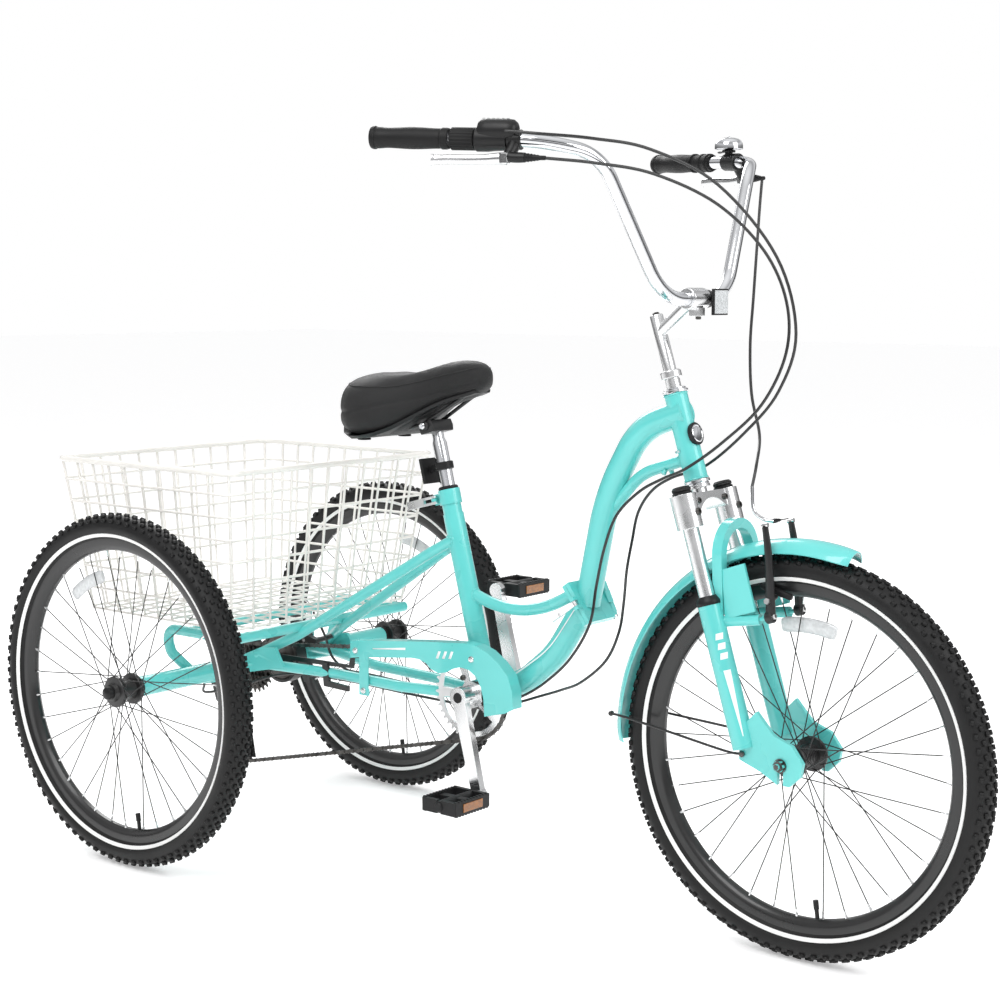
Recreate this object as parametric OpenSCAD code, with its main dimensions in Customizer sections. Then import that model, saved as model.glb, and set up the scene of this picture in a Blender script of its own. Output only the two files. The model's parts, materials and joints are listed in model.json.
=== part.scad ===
// Adult folding tricycle with a rear wire basket.
// X runs forward, Y to the rider's left, Z up. The origin is on the ground,
// midway between the front and rear ends of the tyres. Millimetres.
// Positions inside the modules are counted from the rear axle's plane.

/* [Overall] */
// Distance from the rear axle to the front axle
wheelbase = 1226; // [1000:1:1400]
// Distance between the middles of the two rear wheels
rear_track = 736; // [600:1:900]

/* [Wheels] */
// Outside diameter of a tyre
tyre_d = 664; // [500:1:720]
// Width of a tyre
tyre_w = 52; // [32:1:70]
// Diameter where the tyre sits on the rim
bead_d = 572; // [420:1:630]
// Width of the rim
rim_w = 27; // [20:1:40]
// Spokes in each wheel
spokes = 36; // [24:4:48]
// Spoke diameter
spoke_d = 2; // [1.6:0.1:3]

/* [Frame] */
// Angle of the head tube from the ground
head_angle = 72.5; // [66:0.1:78]
// Diameter of the main tube and of the tube below the hinge
main_d = 45; // [30:0.5:60]
// Diameter of the seat tube
seat_tube_d = 38; // [30:0.5:50]
// Diameter of the head tube
head_tube_d = 39; // [32:0.5:50]
// Diameter of the chainstays and the seat stays
stay_d = 20; // [12:0.5:28]
// Diameter of the rear axle's carrier tubes
carrier_d = 38; // [28:0.5:50]
// Height of the bottom bracket
bb_height = 351; // [270:1:400]
// Distance from the rear axle forward to the bottom bracket
bb_x = 575.5; // [450:0.5:650]

/* [Fold] */
// Angle of the fold pin from the ground, measured from the front
pin_angle = 116; // [100:1:140]
// Angle of the hinge plates from the ground, measured from the front
plate_angle = 126; // [100:1:150]
// Distance of the fold pin to the left of the middle
pin_y = 58; // [40:1:80]
// Diameter of the fold pin
pin_d = 10; // [6:0.5:14]

/* [Steering] */
// Outside diameter of the handlebar
bar_d = 22.2; // [20:0.1:32]
// Outside diameter of the steerer
steerer_d = 25.4; // [22:0.1:32]
// Diameter of a stanchion
stanchion_d = 27; // [24:0.5:36]
// Distance of a fork leg from the middle
leg_y = 62; // [50:1:80]

/* [Drive] */
// Length of a crank arm between its two axes
crank_len = 175; // [150:1:190]
// Angle of the right crank from straight down, forward
crank_angle = 14.6; // [0:0.1:90]
// Teeth on the chainring
ring_teeth = 40; // [28:1:52]
// Teeth on the sprocket that carries the chain
cog_teeth = 20; // [14:1:28]
// Distance of the chain to the right of the middle
chain_line = 49; // [40:1:60]

/* [Seat] */
// Diameter of the seat post
post_d = 27.2; // [22:0.1:32]
// Width of the saddle
saddle_w = 226; // [160:1:300]

/* [Basket] */
// Length of the basket along the tricycle at its rim
basket_l = 495; // [300:1:600]
// Width of the basket at its rim
basket_w = 566; // [350:1:620]
// Depth of the basket
basket_h = 305; // [150:1:400]
// Diameter of the bolt holes under the basket
tab_hole_d = 6.6; // [4:0.1:9]

/* [Hidden] */
$fn = 72;
round_fn = 144;
teal = [0.36, 0.83, 0.79];
silver = [0.82, 0.83, 0.85];
black = [0.09, 0.09, 0.09];
dark = [0.2, 0.2, 0.21];
rubber = [0.06, 0.06, 0.065];
white = [0.95, 0.94, 0.92];

tyre_r = tyre_d / 2;
bead_r = bead_d / 2;
rim_in_r = bead_r - 24;
half_track = rear_track / 2;
axle_z = tyre_r;
front_axle = [wheelbase, 0, axle_z];

// the steering axis: its low end at the foot of the head tube
head_low = [1018, 0, 766.5];
head_dir = [-cos(head_angle), 0, sin(head_angle)];
head_len = 147;
head_top = head_low + head_len * head_dir;
head_fwd = [sin(head_angle), 0, cos(head_angle)];

// the fork legs run beside the steering axis, a little ahead of it
leg_off = 7;
function on_axis(s, fwd = 0, y = 0) =
  head_low + s * head_dir + fwd * head_fwd + [0, y, 0];
module at_axis(s, fwd = 0) {
  translate(on_axis(s, fwd)) rotate([0, head_angle - 90, 0]) children();
}
crown_s = -48;
lower_s = -203;
leg_end_s = -440;

// outside radius of the bottom bracket's shell
shell_r = 24;

// the hinge
hinge_mid = [797, 0, 538];
plate_t = 8;
plate_gap = 0.2;
pin_dir = [cos(pin_angle), 0, sin(pin_angle)];
pin_mid = [797, pin_y, 538];

// seat tube line
bb = [bb_x, 0, bb_height];
seat_top = [480, 0, 711];
seat_dir = (seat_top - bb) / norm(seat_top - bb);
function on_seat(s) = bb + s * seat_dir;
seat_tube_len = norm(seat_top - bb);

// handlebar line: half of it, from the clamp to the grip's end
clamp_mid = [1008, 0, 1063.5];
grip_end = [664.5, 395.5, 1313];
bar_half = [[1008, 94, 1063.5], [974, 218, 1284], [926, 301, 1303.5], grip_end];
grip_dir = (bar_half[2] - grip_end) / norm(bar_half[2] - grip_end);
function flip(p) = [p[0], -p[1], p[2]];
function hand(s, p) = s > 0 ? p : flip(p);
function at_grip(t, out = 0, up = 0) =
  grip_end + t * grip_dir + out * [0.34, 0.94, 0] + [0, 0, up];

// drive
ring_r = ring_teeth * 12.7 / (2 * PI);
cog_r = cog_teeth * 12.7 / (2 * PI);
cogs = [14, 16, 18, 20, 24, 28];
guide_c = [-26, 244];
tension_c = [-8, 152];
pulley_r = 20;
// the stud that carries the derailleur
hanger_c = [-76, 294];

// cable routes, from the handlebar to the rear
brake_route = [flip(at_grip(286, 22, -28)), [984, -244, 1270], [1034, -160, 1256],
  [1094, -72, 1212], [1146, -14, 1140], [1178, 4, 1060], [1184, -4, 980],
  [1148, -14, 898], [1082, -24, 834], [1016, -28, 788], [961, -15, 766],
  [918, -20, 742], [880, -32, 700], [856, -34, 640], [842, -36, 575],
  [836, -46, 510], [796, -46, 446], [735, -30, 396], [676, -17, 360],
  [622, -16, 338], [560, -14, 320], [480, 6, 324], [400, 26, 326],
  [250, 34, 330], [180, 40, 330], [140, 42, 350], [112, 52, 384],
  [86, 60, 410], [68, 63, 428]];
shift_route = [flip(at_grip(223, 18, 12)), [930, -318, 1312], [988, -258, 1306],
  [1040, -178, 1292], [1104, -84, 1240], [1160, 2, 1130], [1178, 36, 1010],
  [1146, 40, 916], [1086, 36, 846], [1016, 30, 788], [961, 15, 766],
  [916, 20, 740], [884, 26, 700], [876, 20, 650], [874, 8, 600], [884, -14, 548],
  [886, -30, 500], [862, -34, 448], [800, -20, 400], [735, 8, 372],
  [682, 17, 352], [622, 14, 330], [560, 4, 314], [480, -22, 322],
  [400, -32, 326], [250, -36, 330], [120, -66, 330], [30, -108, 300],
  [-60, -112, 276], [-96, -84, 284]];

function unit(v) = v / norm(v);
function belt_turn(c, r, i) =
  let (n = len(c), j = (i + 1) % n, d = c[j] - c[i], l = norm(d))
  atan2(d[1], d[0]) + asin((r[i] - r[j]) / l);
function belt_arc(c, r, i) =
  let (n = len(c), h = (i + n - 1) % n,
    a = belt_turn(c, r, h), b0 = belt_turn(c, r, i),
    b = r[i] > 0 ? a + ((b0 - a) % 360 + 360) % 360
      : a - ((a - b0) % 360 + 360) % 360,
    m = max(2, ceil(abs(b - a) / 12)))
  [for (k = [0:m]) let (t = a + (b - a) * k / m)
    c[i] + r[i] * [sin(t), -cos(t)]];
function belt(c, r) = [for (i = [0:len(c) - 1]) each belt_arc(c, r, i)];

// everything is placed from the rear axle's plane
module place() { translate([-wheelbase / 2, 0, 0]) children(); }

// a round bar between two points
module rod(a, b, r) {
  v = b - a;
  translate(a) rotate([0, acos(v[2] / norm(v)), atan2(v[1], v[0])])
    cylinder(h = norm(v), r = r);
}
// one rounded bend of a pipe
module bend(a, p, b, R, r) {
  u = unit(p - a);
  v = unit(b - p);
  th = acos(u * v);
  w = unit(cross(u, v));
  n = cross(w, u);
  c = p - u * R * tan(th / 2) + n * R;
  multmatrix([[-n[0], u[0], w[0], c[0]], [-n[1], u[1], w[1], c[1]],
      [-n[2], u[2], w[2], c[2]], [0, 0, 0, 1]])
    rotate_extrude(angle = th) translate([R, 0]) circle(r);
}
function tan_len(P, R, i) = (i == 0 || i == len(P) - 1) ? 0
  : R[i] * tan(acos(unit(P[i] - P[i - 1]) * unit(P[i + 1] - P[i])) / 2);
// a pipe through P, rounded by R at each inner point; its straight runs are a
// hair thinner and reach into the bends
module pipe(P, R, r) {
  n = len(P) - 1;
  for (i = [0:n - 1]) {
    u = unit(P[i + 1] - P[i]);
    rod(P[i] + u * (tan_len(P, R, i) - (i > 0 ? 0.6 : 0)),
      P[i + 1] - u * (tan_len(P, R, i + 1) - (i < n - 1 ? 0.6 : 0)), r - 0.05);
  }
  for (i = [1:n - 1]) bend(P[i - 1], P[i], P[i + 1], R[i], r);
}
// shapes laid in the vertical plane, extruded across
module across(y0, y1) {
  translate([0, y1, 0]) rotate([90, 0, 0]) linear_extrude(y1 - y0) children();
}
module along_y(p, y0, y1, r) { across(y0, y1) translate(p) circle(r); }

// a soft cable: one swept skin of eight sides through smoothed points
function hermite(P, i, t) =
  let (n = len(P), a = P[i], b = P[i + 1],
    ma = (i == 0 ? b - a : (b - P[i - 1]) / 2),
    mb = (i + 2 > n - 1 ? b - a : (P[i + 2] - a) / 2))
  (2 * t * t * t - 3 * t * t + 1) * a + (t * t * t - 2 * t * t + t) * ma
  + (3 * t * t - 2 * t * t * t) * b + (t * t * t - t * t) * mb;
function smooth(P, k) = concat([for (i = [0:len(P) - 2]) for (j = [0:k - 1])
  hermite(P, i, j / k)], [P[len(P) - 1]]);
function side_of(u) = unit(cross(u, abs(u[1]) > 0.9 ? [1, 0, 0] : [0, 1, 0]));
module cable(P, r, k = 3) {
  Q = smooth(P, k);
  n = len(Q);
  m = 8;
  U = [for (i = [0:n - 1]) unit(Q[min(i + 1, n - 1)] - Q[max(i - 1, 0)])];
  pts = [for (i = [0:n - 1]) let (a = side_of(U[i]), b = cross(U[i], a))
    for (j = [0:m - 1]) Q[i] + r * (cos(j * 360 / m) * a + sin(j * 360 / m) * b)];
  faces = concat([[for (j = [m - 1:-1:0]) j]],
    [for (i = [0:n - 2]) for (j = [0:m - 1])
      [i * m + j, i * m + (j + 1) % m, (i + 1) * m + (j + 1) % m, (i + 1) * m + j]],
    [[for (j = [0:m - 1]) (n - 1) * m + j]]);
  polyhedron(pts, [for (f = faces) [for (k = [len(f) - 1:-1:0]) f[k]]]);
}

// ---- wheels ----
module tyre(c) {
  translate(c) rotate([90, 0, 0]) rotate_extrude($fn = round_fn)
    difference() {
      translate([tyre_r - tyre_w / 2, 0]) circle(tyre_w / 2, $fn = 48);
      translate([0, -tyre_w]) square([bead_r, 2 * tyre_w]);
    }
}
module rim(c) {
  h = rim_w / 2;
  translate(c) rotate([90, 0, 0]) rotate_extrude($fn = round_fn)
    polygon([[bead_r, -h], [bead_r, h], [bead_r - 14, h], [rim_in_r + 3, h - 6],
        [rim_in_r, 4], [rim_in_r, -4], [rim_in_r + 3, -h + 6], [bead_r - 14, -h]]);
}
// crossed spokes from the flanges at +-fy to the rim
module spoke_set(c, fy, fr) {
  for (i = [0:spokes - 1]) {
    s = i % 2 == 0 ? 1 : -1;
    k = floor(i / 2) % 2 == 0 ? 1 : -1;
    a = i * 360 / spokes;
    b = a + k * 62;
    rod(c + [fr * cos(b), s * (fy + k * 2), fr * sin(b)],
      c + [(rim_in_r + 0.5) * cos(a), s * 2.2, (rim_in_r + 0.5) * sin(a)],
      spoke_d / 2, $fn = 16);
  }
}
module front_tyre() { color(rubber) place() tyre(front_axle); }
module front_rim() { color(black) place() rim(front_axle); }
module front_spokes() { color(black) place() spoke_set(front_axle, 32, 24); }
module front_hub() {
  color(black) place() {
    difference() {
      union() {
        along_y([wheelbase, axle_z], -36, 36, 15);
        for (y = [-36, 28]) along_y([wheelbase, axle_z], y, y + 8, 29);
        along_y([wheelbase, axle_z], -48, 48, 11);
      }
      along_y([wheelbase, axle_z], -60, 60, 5.05);
    }
  }
}
module right_tyre() { color(rubber) place() tyre([0, -half_track, axle_z]); }
module right_rim() { color(black) place() rim([0, -half_track, axle_z]); }
module right_spokes() {
  color(black) place() spoke_set([0, -half_track, axle_z], 20, 24);
}
module left_tyre() { color(rubber) place() tyre([0, half_track, axle_z]); }
module left_rim() { color(black) place() rim([0, half_track, axle_z]); }
module left_spokes() {
  color(black) place() spoke_set([0, half_track, axle_z], 20, 24);
}
// outside shape of a rear hub, from the inner end out to its cap
module rear_hub_shape(s) {
  m = s * half_track;
  for (y = [m - 24, m + 16]) along_y([0, axle_z], y, y + 8, 29);
  along_y([0, axle_z], m - 24, m + 24, 19);
  a = m + s * 24;
  b = m + s * 31;
  along_y([0, axle_z], min(a, b), max(a, b), 15);
  e = m - s * 24;
  f = m - s * 31;
  along_y([0, axle_z], min(e, f), max(e, f), 15);
}
// the right hub drives: it is fixed on the axle that runs across
module right_hub() {
  color(black) place() {
    rear_hub_shape(-1);
    along_y([0, axle_z], -half_track + 31, half_track + 22, 8.5);
    along_y([0, axle_z], 34.5, 57, 45);
    along_y([0, axle_z], -74, -30, 14);
  }
}
module left_hub() {
  color(black) place() difference() {
    rear_hub_shape(1);
    along_y([0, axle_z], half_track - 40, half_track + 23, 8.55);
  }
}

// ---- rear frame ----
module seat_tube() {
  color(teal) place() difference() {
    union() {
      rod(on_seat(20), on_seat(seat_tube_len - 44), seat_tube_d / 2);
      rod(on_seat(seat_tube_len - 44), on_seat(seat_tube_len), 17.5);
      rod(on_seat(seat_tube_len - 26), on_seat(seat_tube_len + 1), 20.5);
      at_collar() translate([-31, -9, -10]) cube([16, 18, 20]);
    }
    rod(on_seat(90), on_seat(seat_tube_len + 5), post_d / 2 + 0.05);
    at_collar() translate([-40, -1.5, -30]) cube([30, 3, 60]);
    at_collar() translate([-24, 20, 0]) rotate([90, 0, 0]) cylinder(h = 40, r = 3.1);
    along_y([bb_x, bb_height], -50, 50, shell_r);
  }
  color(silver) place() at_collar() {
    translate([-24, 18, 0]) rotate([90, 0, 0]) cylinder(h = 9, r = 7.5);
    translate([-24, 12, 0]) rotate([90, 0, 0]) cylinder(h = 28, r = 3);
    difference() {
      translate([-24, -18, -3]) cylinder(h = 6, r = 5);
      translate([-24, -18, -4]) cylinder(h = 8, r = 2.05);
    }
  }
}
// local frame of the seat clamp: z up the seat tube
module at_collar() {
  translate(on_seat(seat_tube_len - 13)) rotate([0, -14.9, 0]) children();
}
module down_pipe() {
  pipe([bb + [22, 0, 6.5], [660, 0, 378], [731, 0, 437], [812, 0, 561]],
    [0, 130, 200, 0], main_d / 2);
}
module down_tube() {
  color(teal) place() difference() {
    union() {
      down_pipe();
      along_y([bb_x, bb_height], -38, 38, shell_r);
    }
    rod(on_seat(25), on_seat(90), seat_tube_d / 2 + 0.05);
    along_y([bb_x, bb_height], -60, 60, 8.55);
    behind_plate(-plate_t) translate([-150, -100, 0]) cube([300, 200, 200]);
  }
}
// local frame of the hinge plates: z forward through them, x down the plate
module behind_plate(z) {
  translate(hinge_mid) rotate([0, 180 - plate_angle, 0])
    translate([0, 0, z]) children();
}
module frame_brace() {
  color(teal) place() difference() {
    pipe([[524, 0, 530], [655, 0, 489], [800, 0, 566]], [0, 230, 0], 11);
    down_pipe();
    rod(on_seat(60), on_seat(320), seat_tube_d / 2);
    behind_plate(-plate_t) translate([-150, -100, 0]) cube([300, 200, 200]);
  }
}
// the straight runs of the stays, for cutting what is welded to them
module stay_runs(e) {
  for (s = [-1, 1]) {
    rod([270, s * 51.5, 344.7], [232, s * 56, 345.5], stay_d / 2 + e);
    rod([252, s * 51.7, 345], [98, s * 88.4, 349], stay_d / 2 + e);
    rod([104, s * 87.5, 349], [16, s * 100, 346], stay_d / 2 + e);
    rod([456, s * 21, 596], [150, s * 61, 410], stay_d / 2 + e);
    rod([154, s * 60.5, 412], [66, s * 99, 364], stay_d / 2 + e);
  }
}
module chainstays() {
  color(teal) place() difference() {
    for (s = [-1, 1])
      pipe([[575, s * 27, 345], [486, s * 31, 342], [405, s * 49, 342],
          [250, s * 52, 345], [100, s * 88, 349], [16, s * 100, 346]],
        [0, 60, 60, 120, 60, 0], stay_d / 2);
    along_y([bb_x, bb_height], -60, 60, shell_r);
    along_y([0, axle_z], -130, 130, carrier_d / 2);
    for (s = [-1, 1]) translate([-10, s * 100 - 4, 300]) cube([60, 8, 80]);
  }
}
module seat_stays() {
  color(teal) place() difference() {
    union() {
      for (s = [-1, 1])
        pipe([[500, s * 10, 622], [456, s * 21, 596], [150, s * 61, 410],
            [70, s * 98, 366]], [0, 60, 60, 0], stay_d / 2);
      for (s = [-1, 1])
        across(s * 100 - 3, s * 100 + 3)
          polygon([[-24, 318], [60, 332], [150, 352], [128, 388], [88, 384],
              [40, 364], [-20, 352]]);
    }
    rod(on_seat(120), on_seat(340), seat_tube_d / 2);
    along_y([0, axle_z], -130, 130, carrier_d / 2);
    for (s = [-1, 1]) {
      rod([104, s * 87.5, 349], [16, s * 100, 346], stay_d / 2);
      rod([160, s * 73.6, 347.4], [100, s * 88, 349], stay_d / 2);
    }
  }
}
module axle_tubes() {
  color(teal) place() for (s = [-1, 1]) {
    a = s > 0 ? 86 : -334;
    difference() {
      along_y([0, axle_z], a, a + 248, carrier_d / 2);
      along_y([0, axle_z], a - 1, a + 249, 8.55);
    }
  }
  color(teal) place() difference() {
    union() {
      across(-92, -87) polygon([[6, 350], [-30, 336], [-72, 312], [-92, 300],
        [-86, 286], [-60, 292], [6, 314]]);
      along_y(hanger_c, -90, -49, 5);
    }
    along_y([0, axle_z], -100, -80, 8.55);
  }
}
module basket_support() {
  color(teal) place() difference() {
    union() {
      for (s = [-1, 1])
        pipe([[-14, s * 196, 342], [-30, s * 226, 378], [-40, s * 232, 426],
            [152, s * 232, 426]], [0, 26, 26, 0], 10);
      rod([152, -242, 426], [152, 242, 426], 10);
      rod([20, -228, 426], [20, 228, 426], 8);
      for (s = [-1, 1]) for (x = [50, 122])
        translate([x - 10, s > 0 ? 196 : -224, 424]) cube([20, 28, 4]);
    }
    along_y([0, axle_z], -340, 340, carrier_d / 2);
    stay_runs(0.1);
    for (y = [-208, 208]) for (x = [50, 122])
      translate([x, y, 420]) cylinder(h = 12, r = tab_hole_d / 2);
  }
}
// the basket as a thin-walled tapered tray
bx0 = -296;
bz1 = 748;
module tray(e, z0, z1) {
  g = 0.13;
  function at(z) = (bz1 - z) * g;
  hull() {
    for (z = [z0, z1]) translate([bx0 + at(z) + e, -basket_w / 2 + at(z) + e, z])
      cube([basket_l - 2 * at(z) - 2 * e, basket_w - 2 * at(z) - 2 * e, 0.01]);
  }
}
module basket() {
  color(white) place() difference() {
    tray(0, bz1 - basket_h, bz1 - 2);
    tray(3, bz1 - basket_h + 4, bz1 + 20);
  }
}
module chain_guard() {
  edge = [[292, 417], [325, 421], [468, 437], [575, 447], [598, 446], [625, 437],
    [652, 420], [673, 400], [683, 374], [685, 342]];
  cut = [[666, 332], [620, 320], [618, 351], [612, 372], [600, 390], [583, 400],
    [563, 402], [544, 396], [530, 388], [512, 384], [493, 390], [482, 399],
    [465, 404], [446, 404], [338, 391], [337, 318], [315, 317], [315, 388],
    [292, 384]];
  color(teal) place() {
    across(-66, -63.5) polygon(concat(edge, cut));
    across(-64, -40) polygon(concat(edge, [for (i = [len(edge) - 1:-1:0])
      edge[i] + (i < 4 ? [0, -2] : i > 7 ? [-2, 0] : [-1.6, -1.6])]));
    across(-66, -61) polygon([[337, 330], [337, 317], [315, 317], [315, 330]]);
  }
}
module guard_bracket() {
  color(black) place() difference() {
    union() {
      across(-63.4, -60.4) polygon([[104, 366], [232, 369], [286, 369], [292, 394],
          [316, 394], [316, 386], [300, 384], [298, 364], [232, 360], [104, 357]]);
      across(-63.4, -60.4) polygon([[104, 359], [132, 359], [178, 334], [178, 320],
          [166, 320], [160, 334], [104, 352]]);
      across(-66.4, -60.4) polygon([[217, 366], [232, 366], [236, 331], [286, 328],
          [286, 318], [222, 320]]);
    }
    stay_runs(0.1);
  }
}
module hinge_rear() {
  color(teal) place() {
    behind_plate(-plate_t) difference() {
      translate([-40, -34, 0]) cube([80, 78, plate_t - plate_gap]);
      translate([0, 0, -1]) cylinder(h = 4, r = 10);
    }
    for (s = [-1, 1]) {
      a = pin_mid + (s > 0 ? 11 : -29) * pin_dir;
      rod(a, a + 18 * pin_dir, 9);
      difference() {
        hinge_ear(s > 0 ? 11 : -29, 18);
        behind_plate(-plate_gap) translate([-100, -100, 0]) cube([200, 200, 100]);
        behind_plate(-plate_t - 100) translate([-100, -100, 0])
          cube([200, 143, 200]);
      }
    }
    rod(pin_mid - 33 * pin_dir, pin_mid + 33 * pin_dir, pin_d / 2);
    for (s = [-33, 29]) rod(pin_mid + s * pin_dir, pin_mid + (s + 4) * pin_dir, 8);
  }
}
// a slab from the plate's left edge to the pin, between two stations of the pin
module hinge_ear(s, l) {
  translate(pin_mid + s * pin_dir) rotate([0, 90 - pin_angle, 0])
    translate([-12, -26, 0]) cube([24, 26, l]);
}
module hinge_front() {
  color(teal) place() {
    behind_plate(plate_gap) translate([-40, -34, 0])
      cube([80, 78, plate_t - plate_gap]);
    a = pin_mid - 10.7 * pin_dir;
    difference() {
      union() {
        rod(a, a + 21.4 * pin_dir, 9);
        difference() {
          hinge_ear(-10.7, 21.4);
          behind_plate(plate_gap - 200) translate([-100, -100, 0])
            cube([200, 200, 200]);
          behind_plate(-100) translate([-100, -100, 0]) cube([200, 143, 200]);
        }
      }
      rod(a - pin_dir, a + 23 * pin_dir, pin_d / 2 + 0.05);
    }
    behind_plate(plate_gap) for (x = [-11, 5])
      translate([x, -46, 1]) cube([6, 12.5, 9]);
  }
}
module fold_lever() {
  color(silver) place() behind_plate(5) {
    translate([-4.6, -42, 0]) rotate([0, 90, 0]) cylinder(h = 9.2, r = 4.2);
    translate([-4.6, -47, -38]) cube([9.2, 5, 38]);
    translate([-4.6, -50, -56]) cube([9.2, 5, 20]);
  }
}
module band_brake() {
  color(dark) place() difference() {
    union() {
      along_y([0, axle_z], 34, 56, 52);
      along_y([0, axle_z], 56, 60, 52);
      across(44, 56) polygon([[20, 374], [44, 366], [92, 366], [92, 378], [30, 392]]);
      rod([86, 50, 373], [114, 71, 385], 5);
    }
    along_y([0, axle_z], 33, 57.5, 46.2);
    along_y([0, axle_z], 20, 90, 12);
    translate([58, 70, 372]) rotate([90, 0, 0]) cylinder(h = 40, r = 4.05);
    stay_runs(0.1);
  }
}
module brake_arm() {
  color(silver) place() {
    translate([58, 66, 372]) rotate([90, 0, 0]) cylinder(h = 22, r = 4);
    across(60.5, 65) polygon([[50, 366], [66, 366], [68, 384], [62, 430],
        [52, 430], [48, 384]]);
  }
}
module chain() {
  c = [[0, axle_z], guide_c, tension_c, [bb_x, bb_height]];
  r = [cog_r, -pulley_r, pulley_r, ring_r];
  function pm(e) = [for (v = r) v + e];
  color(dark) place() {
    for (y = [-3.4, 2.2])
      across(-chain_line + y, -chain_line + y + 1.2) difference() {
        polygon(belt(c, pm(4)));
        polygon(belt(c, pm(-4)));
      }
    ta = belt_turn(c, r, 3);
    a = c[3] + ring_r * [sin(ta), -cos(ta)];
    b = c[0] + cog_r * [sin(ta), -cos(ta)];
    for (t = [0.12:0.08:0.9])
      along_y(a + (b - a) * t, -chain_line - 2.4, -chain_line + 2.4, 3);
    tb = belt_turn(c, r, 2);
    d = c[2] + pulley_r * [sin(tb), -cos(tb)];
    e = c[3] + ring_r * [sin(tb), -cos(tb)];
    for (t = [0.12:0.08:0.9])
      along_y(d + (e - d) * t, -chain_line - 2.4, -chain_line + 2.4, 3);
  }
}
// ---- front frame ----
module head_tube() {
  color(teal) place() difference() {
    rod(head_low, head_top, head_tube_d / 2);
    rod(on_axis(-5), on_axis(head_len + 5), 15);
  }
}
module headset() {
  color(silver) place() difference() {
    union() {
      rod(on_axis(-9), on_axis(0), 22);
      rod(on_axis(0), on_axis(10), 15);
      rod(on_axis(head_len), on_axis(head_len + 9), 22);
      rod(on_axis(head_len - 10), on_axis(head_len), 15);
    }
    rod(on_axis(-12), on_axis(head_len + 15), steerer_d / 2 + 0.05);
  }
}
// the main tube with the short brace tube under it
module main_tube() {
  color(teal) place() difference() {
    union() {
      pipe([[996, 0, 879], [905, 0, 847], [838, 0, 728], [798, 0, 536]],
        [0, 120, 380, 0], main_d / 2);
      pipe([[1003, 0, 801], [908, 0, 770], [838, 0, 694]], [0, 110, 0], 10);
      for (s = [-1, 1]) rod([961, s * 9, 779], [961, s * 13, 773], 4);
    }
    rod(on_axis(-5), on_axis(head_len + 5), head_tube_d / 2);
    behind_plate(plate_t - 400) translate([-150, -100, 0]) cube([300, 200, 400]);
  }
}
// ---- steering ----
module fork_crown() {
  color(silver) place() {
    rod(on_axis(-30), on_axis(head_len + 26), steerer_d / 2);
    rod(on_axis(-14), on_axis(-9.2), 20);
    for (s = [-1, 1]) {
      rod(on_axis(crown_s - 30, leg_off, s * leg_y), on_axis(-22, leg_off, s * leg_y), 22);
      rod(on_axis(lower_s - 90, leg_off, s * leg_y), on_axis(crown_s, leg_off, s * leg_y),
        stanchion_d / 2);
    }
    at_axis(-22) crown_bridge();
  }
}
// the arch between the two stanchion clamps
module crown_bridge() {
  difference() {
    translate([-18, 5 - leg_y, -28]) cube([38, 2 * leg_y - 10, 27.5]);
    translate([-40, 0, -62]) rotate([0, 90, 0]) cylinder(h = 80, r = 50);
  }
}
module crown_caps() {
  color(black) place() for (s = [-1, 1])
    rod(on_axis(-22, leg_off, s * leg_y), on_axis(-8, leg_off, s * leg_y), 16.5);
}
module stem() {
  q = on_axis(head_len + 26);
  color(silver) place() difference() {
    union() {
      rod(q, q + 110 * head_dir, 11.1);
      rod(q, q + 12 * head_dir, 18);
      rod(q + 82 * head_dir, clamp_mid, 13);
      along_y([clamp_mid[0], clamp_mid[2]], -24, 24, 18);
      translate(clamp_mid + [-6, -10, -29]) cube([22, 20, 16]);
    }
    along_y([clamp_mid[0], clamp_mid[2]], -40, 40, bar_d / 2 + 0.02);
  }
}
module handlebar() {
  h = bar_half;
  color(silver) place()
    pipe([flip(h[3]), flip(h[2]), flip(h[1]), flip(h[0]), h[0], h[1], h[2], h[3]],
      [0, 90, 90, 90, 90, 90, 90, 0], bar_d / 2);
}
// the fixed grips, the caps at their ends and the left grip's inner ring
module grips() {
  color(black) place() {
    for (s = [-1, 1]) {
      a = s > 0 ? at_grip(-4) : flip(at_grip(-4));
      b = s > 0 ? at_grip(128) : flip(at_grip(128));
      difference() {
        union() {
          rod(a, b, 15.5);
          rod(a, a + 8 * unit(b - a), 18);
        }
        rod(a + 4 * unit(b - a), b + 5 * unit(b - a), bar_d / 2 + 0.02);
      }
    }
    difference() {
      rod(at_grip(130), at_grip(170), 17);
      rod(at_grip(128), at_grip(172), bar_d / 2 + 0.02);
    }
  }
}
module twist_grip() {
  color(black) place() difference() {
    rod(flip(at_grip(129)), flip(at_grip(171)), 17.5);
    rod(flip(at_grip(120)), flip(at_grip(180)), bar_d / 2 + 0.05);
  }
}
// shifter housing, lever perches and cable boots
module lever_mounts() {
  color(black) place() difference() {
    union() {
      rod(flip(at_grip(171.4)), flip(at_grip(222)), 19);
      rod(flip(at_grip(178, 2, 13)), flip(at_grip(236, 2, 13)), 18);
      for (s = [-1, 1]) {
        rod(hand(s, at_grip(224)), hand(s, at_grip(244)), 15);
        rod(hand(s, at_grip(234)), hand(s, at_grip(234, 22, -28)), 9);
        rod(hand(s, at_grip(230, 22, -28)), hand(s, at_grip(258, 22, -28)), 8);
        rod(hand(s, at_grip(258, 22, -28)), hand(s, at_grip(284, 22, -28)), 5);
      }
    }
    for (s = [-1, 1]) {
      rod(hand(s, at_grip(160)), hand(s, at_grip(262)), bar_d / 2 + 0.02);
      translate(hand(s, at_grip(226, 24, -30))) translate([0, 0, -14])
        cylinder(h = 28, r = 9.6);
      translate(hand(s, at_grip(214, 24, -30))) translate([0, 0, -14])
        cylinder(h = 28, r = 9.6);
    }
  }
}
lever_pivot = at_grip(224, 24, -30);
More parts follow.
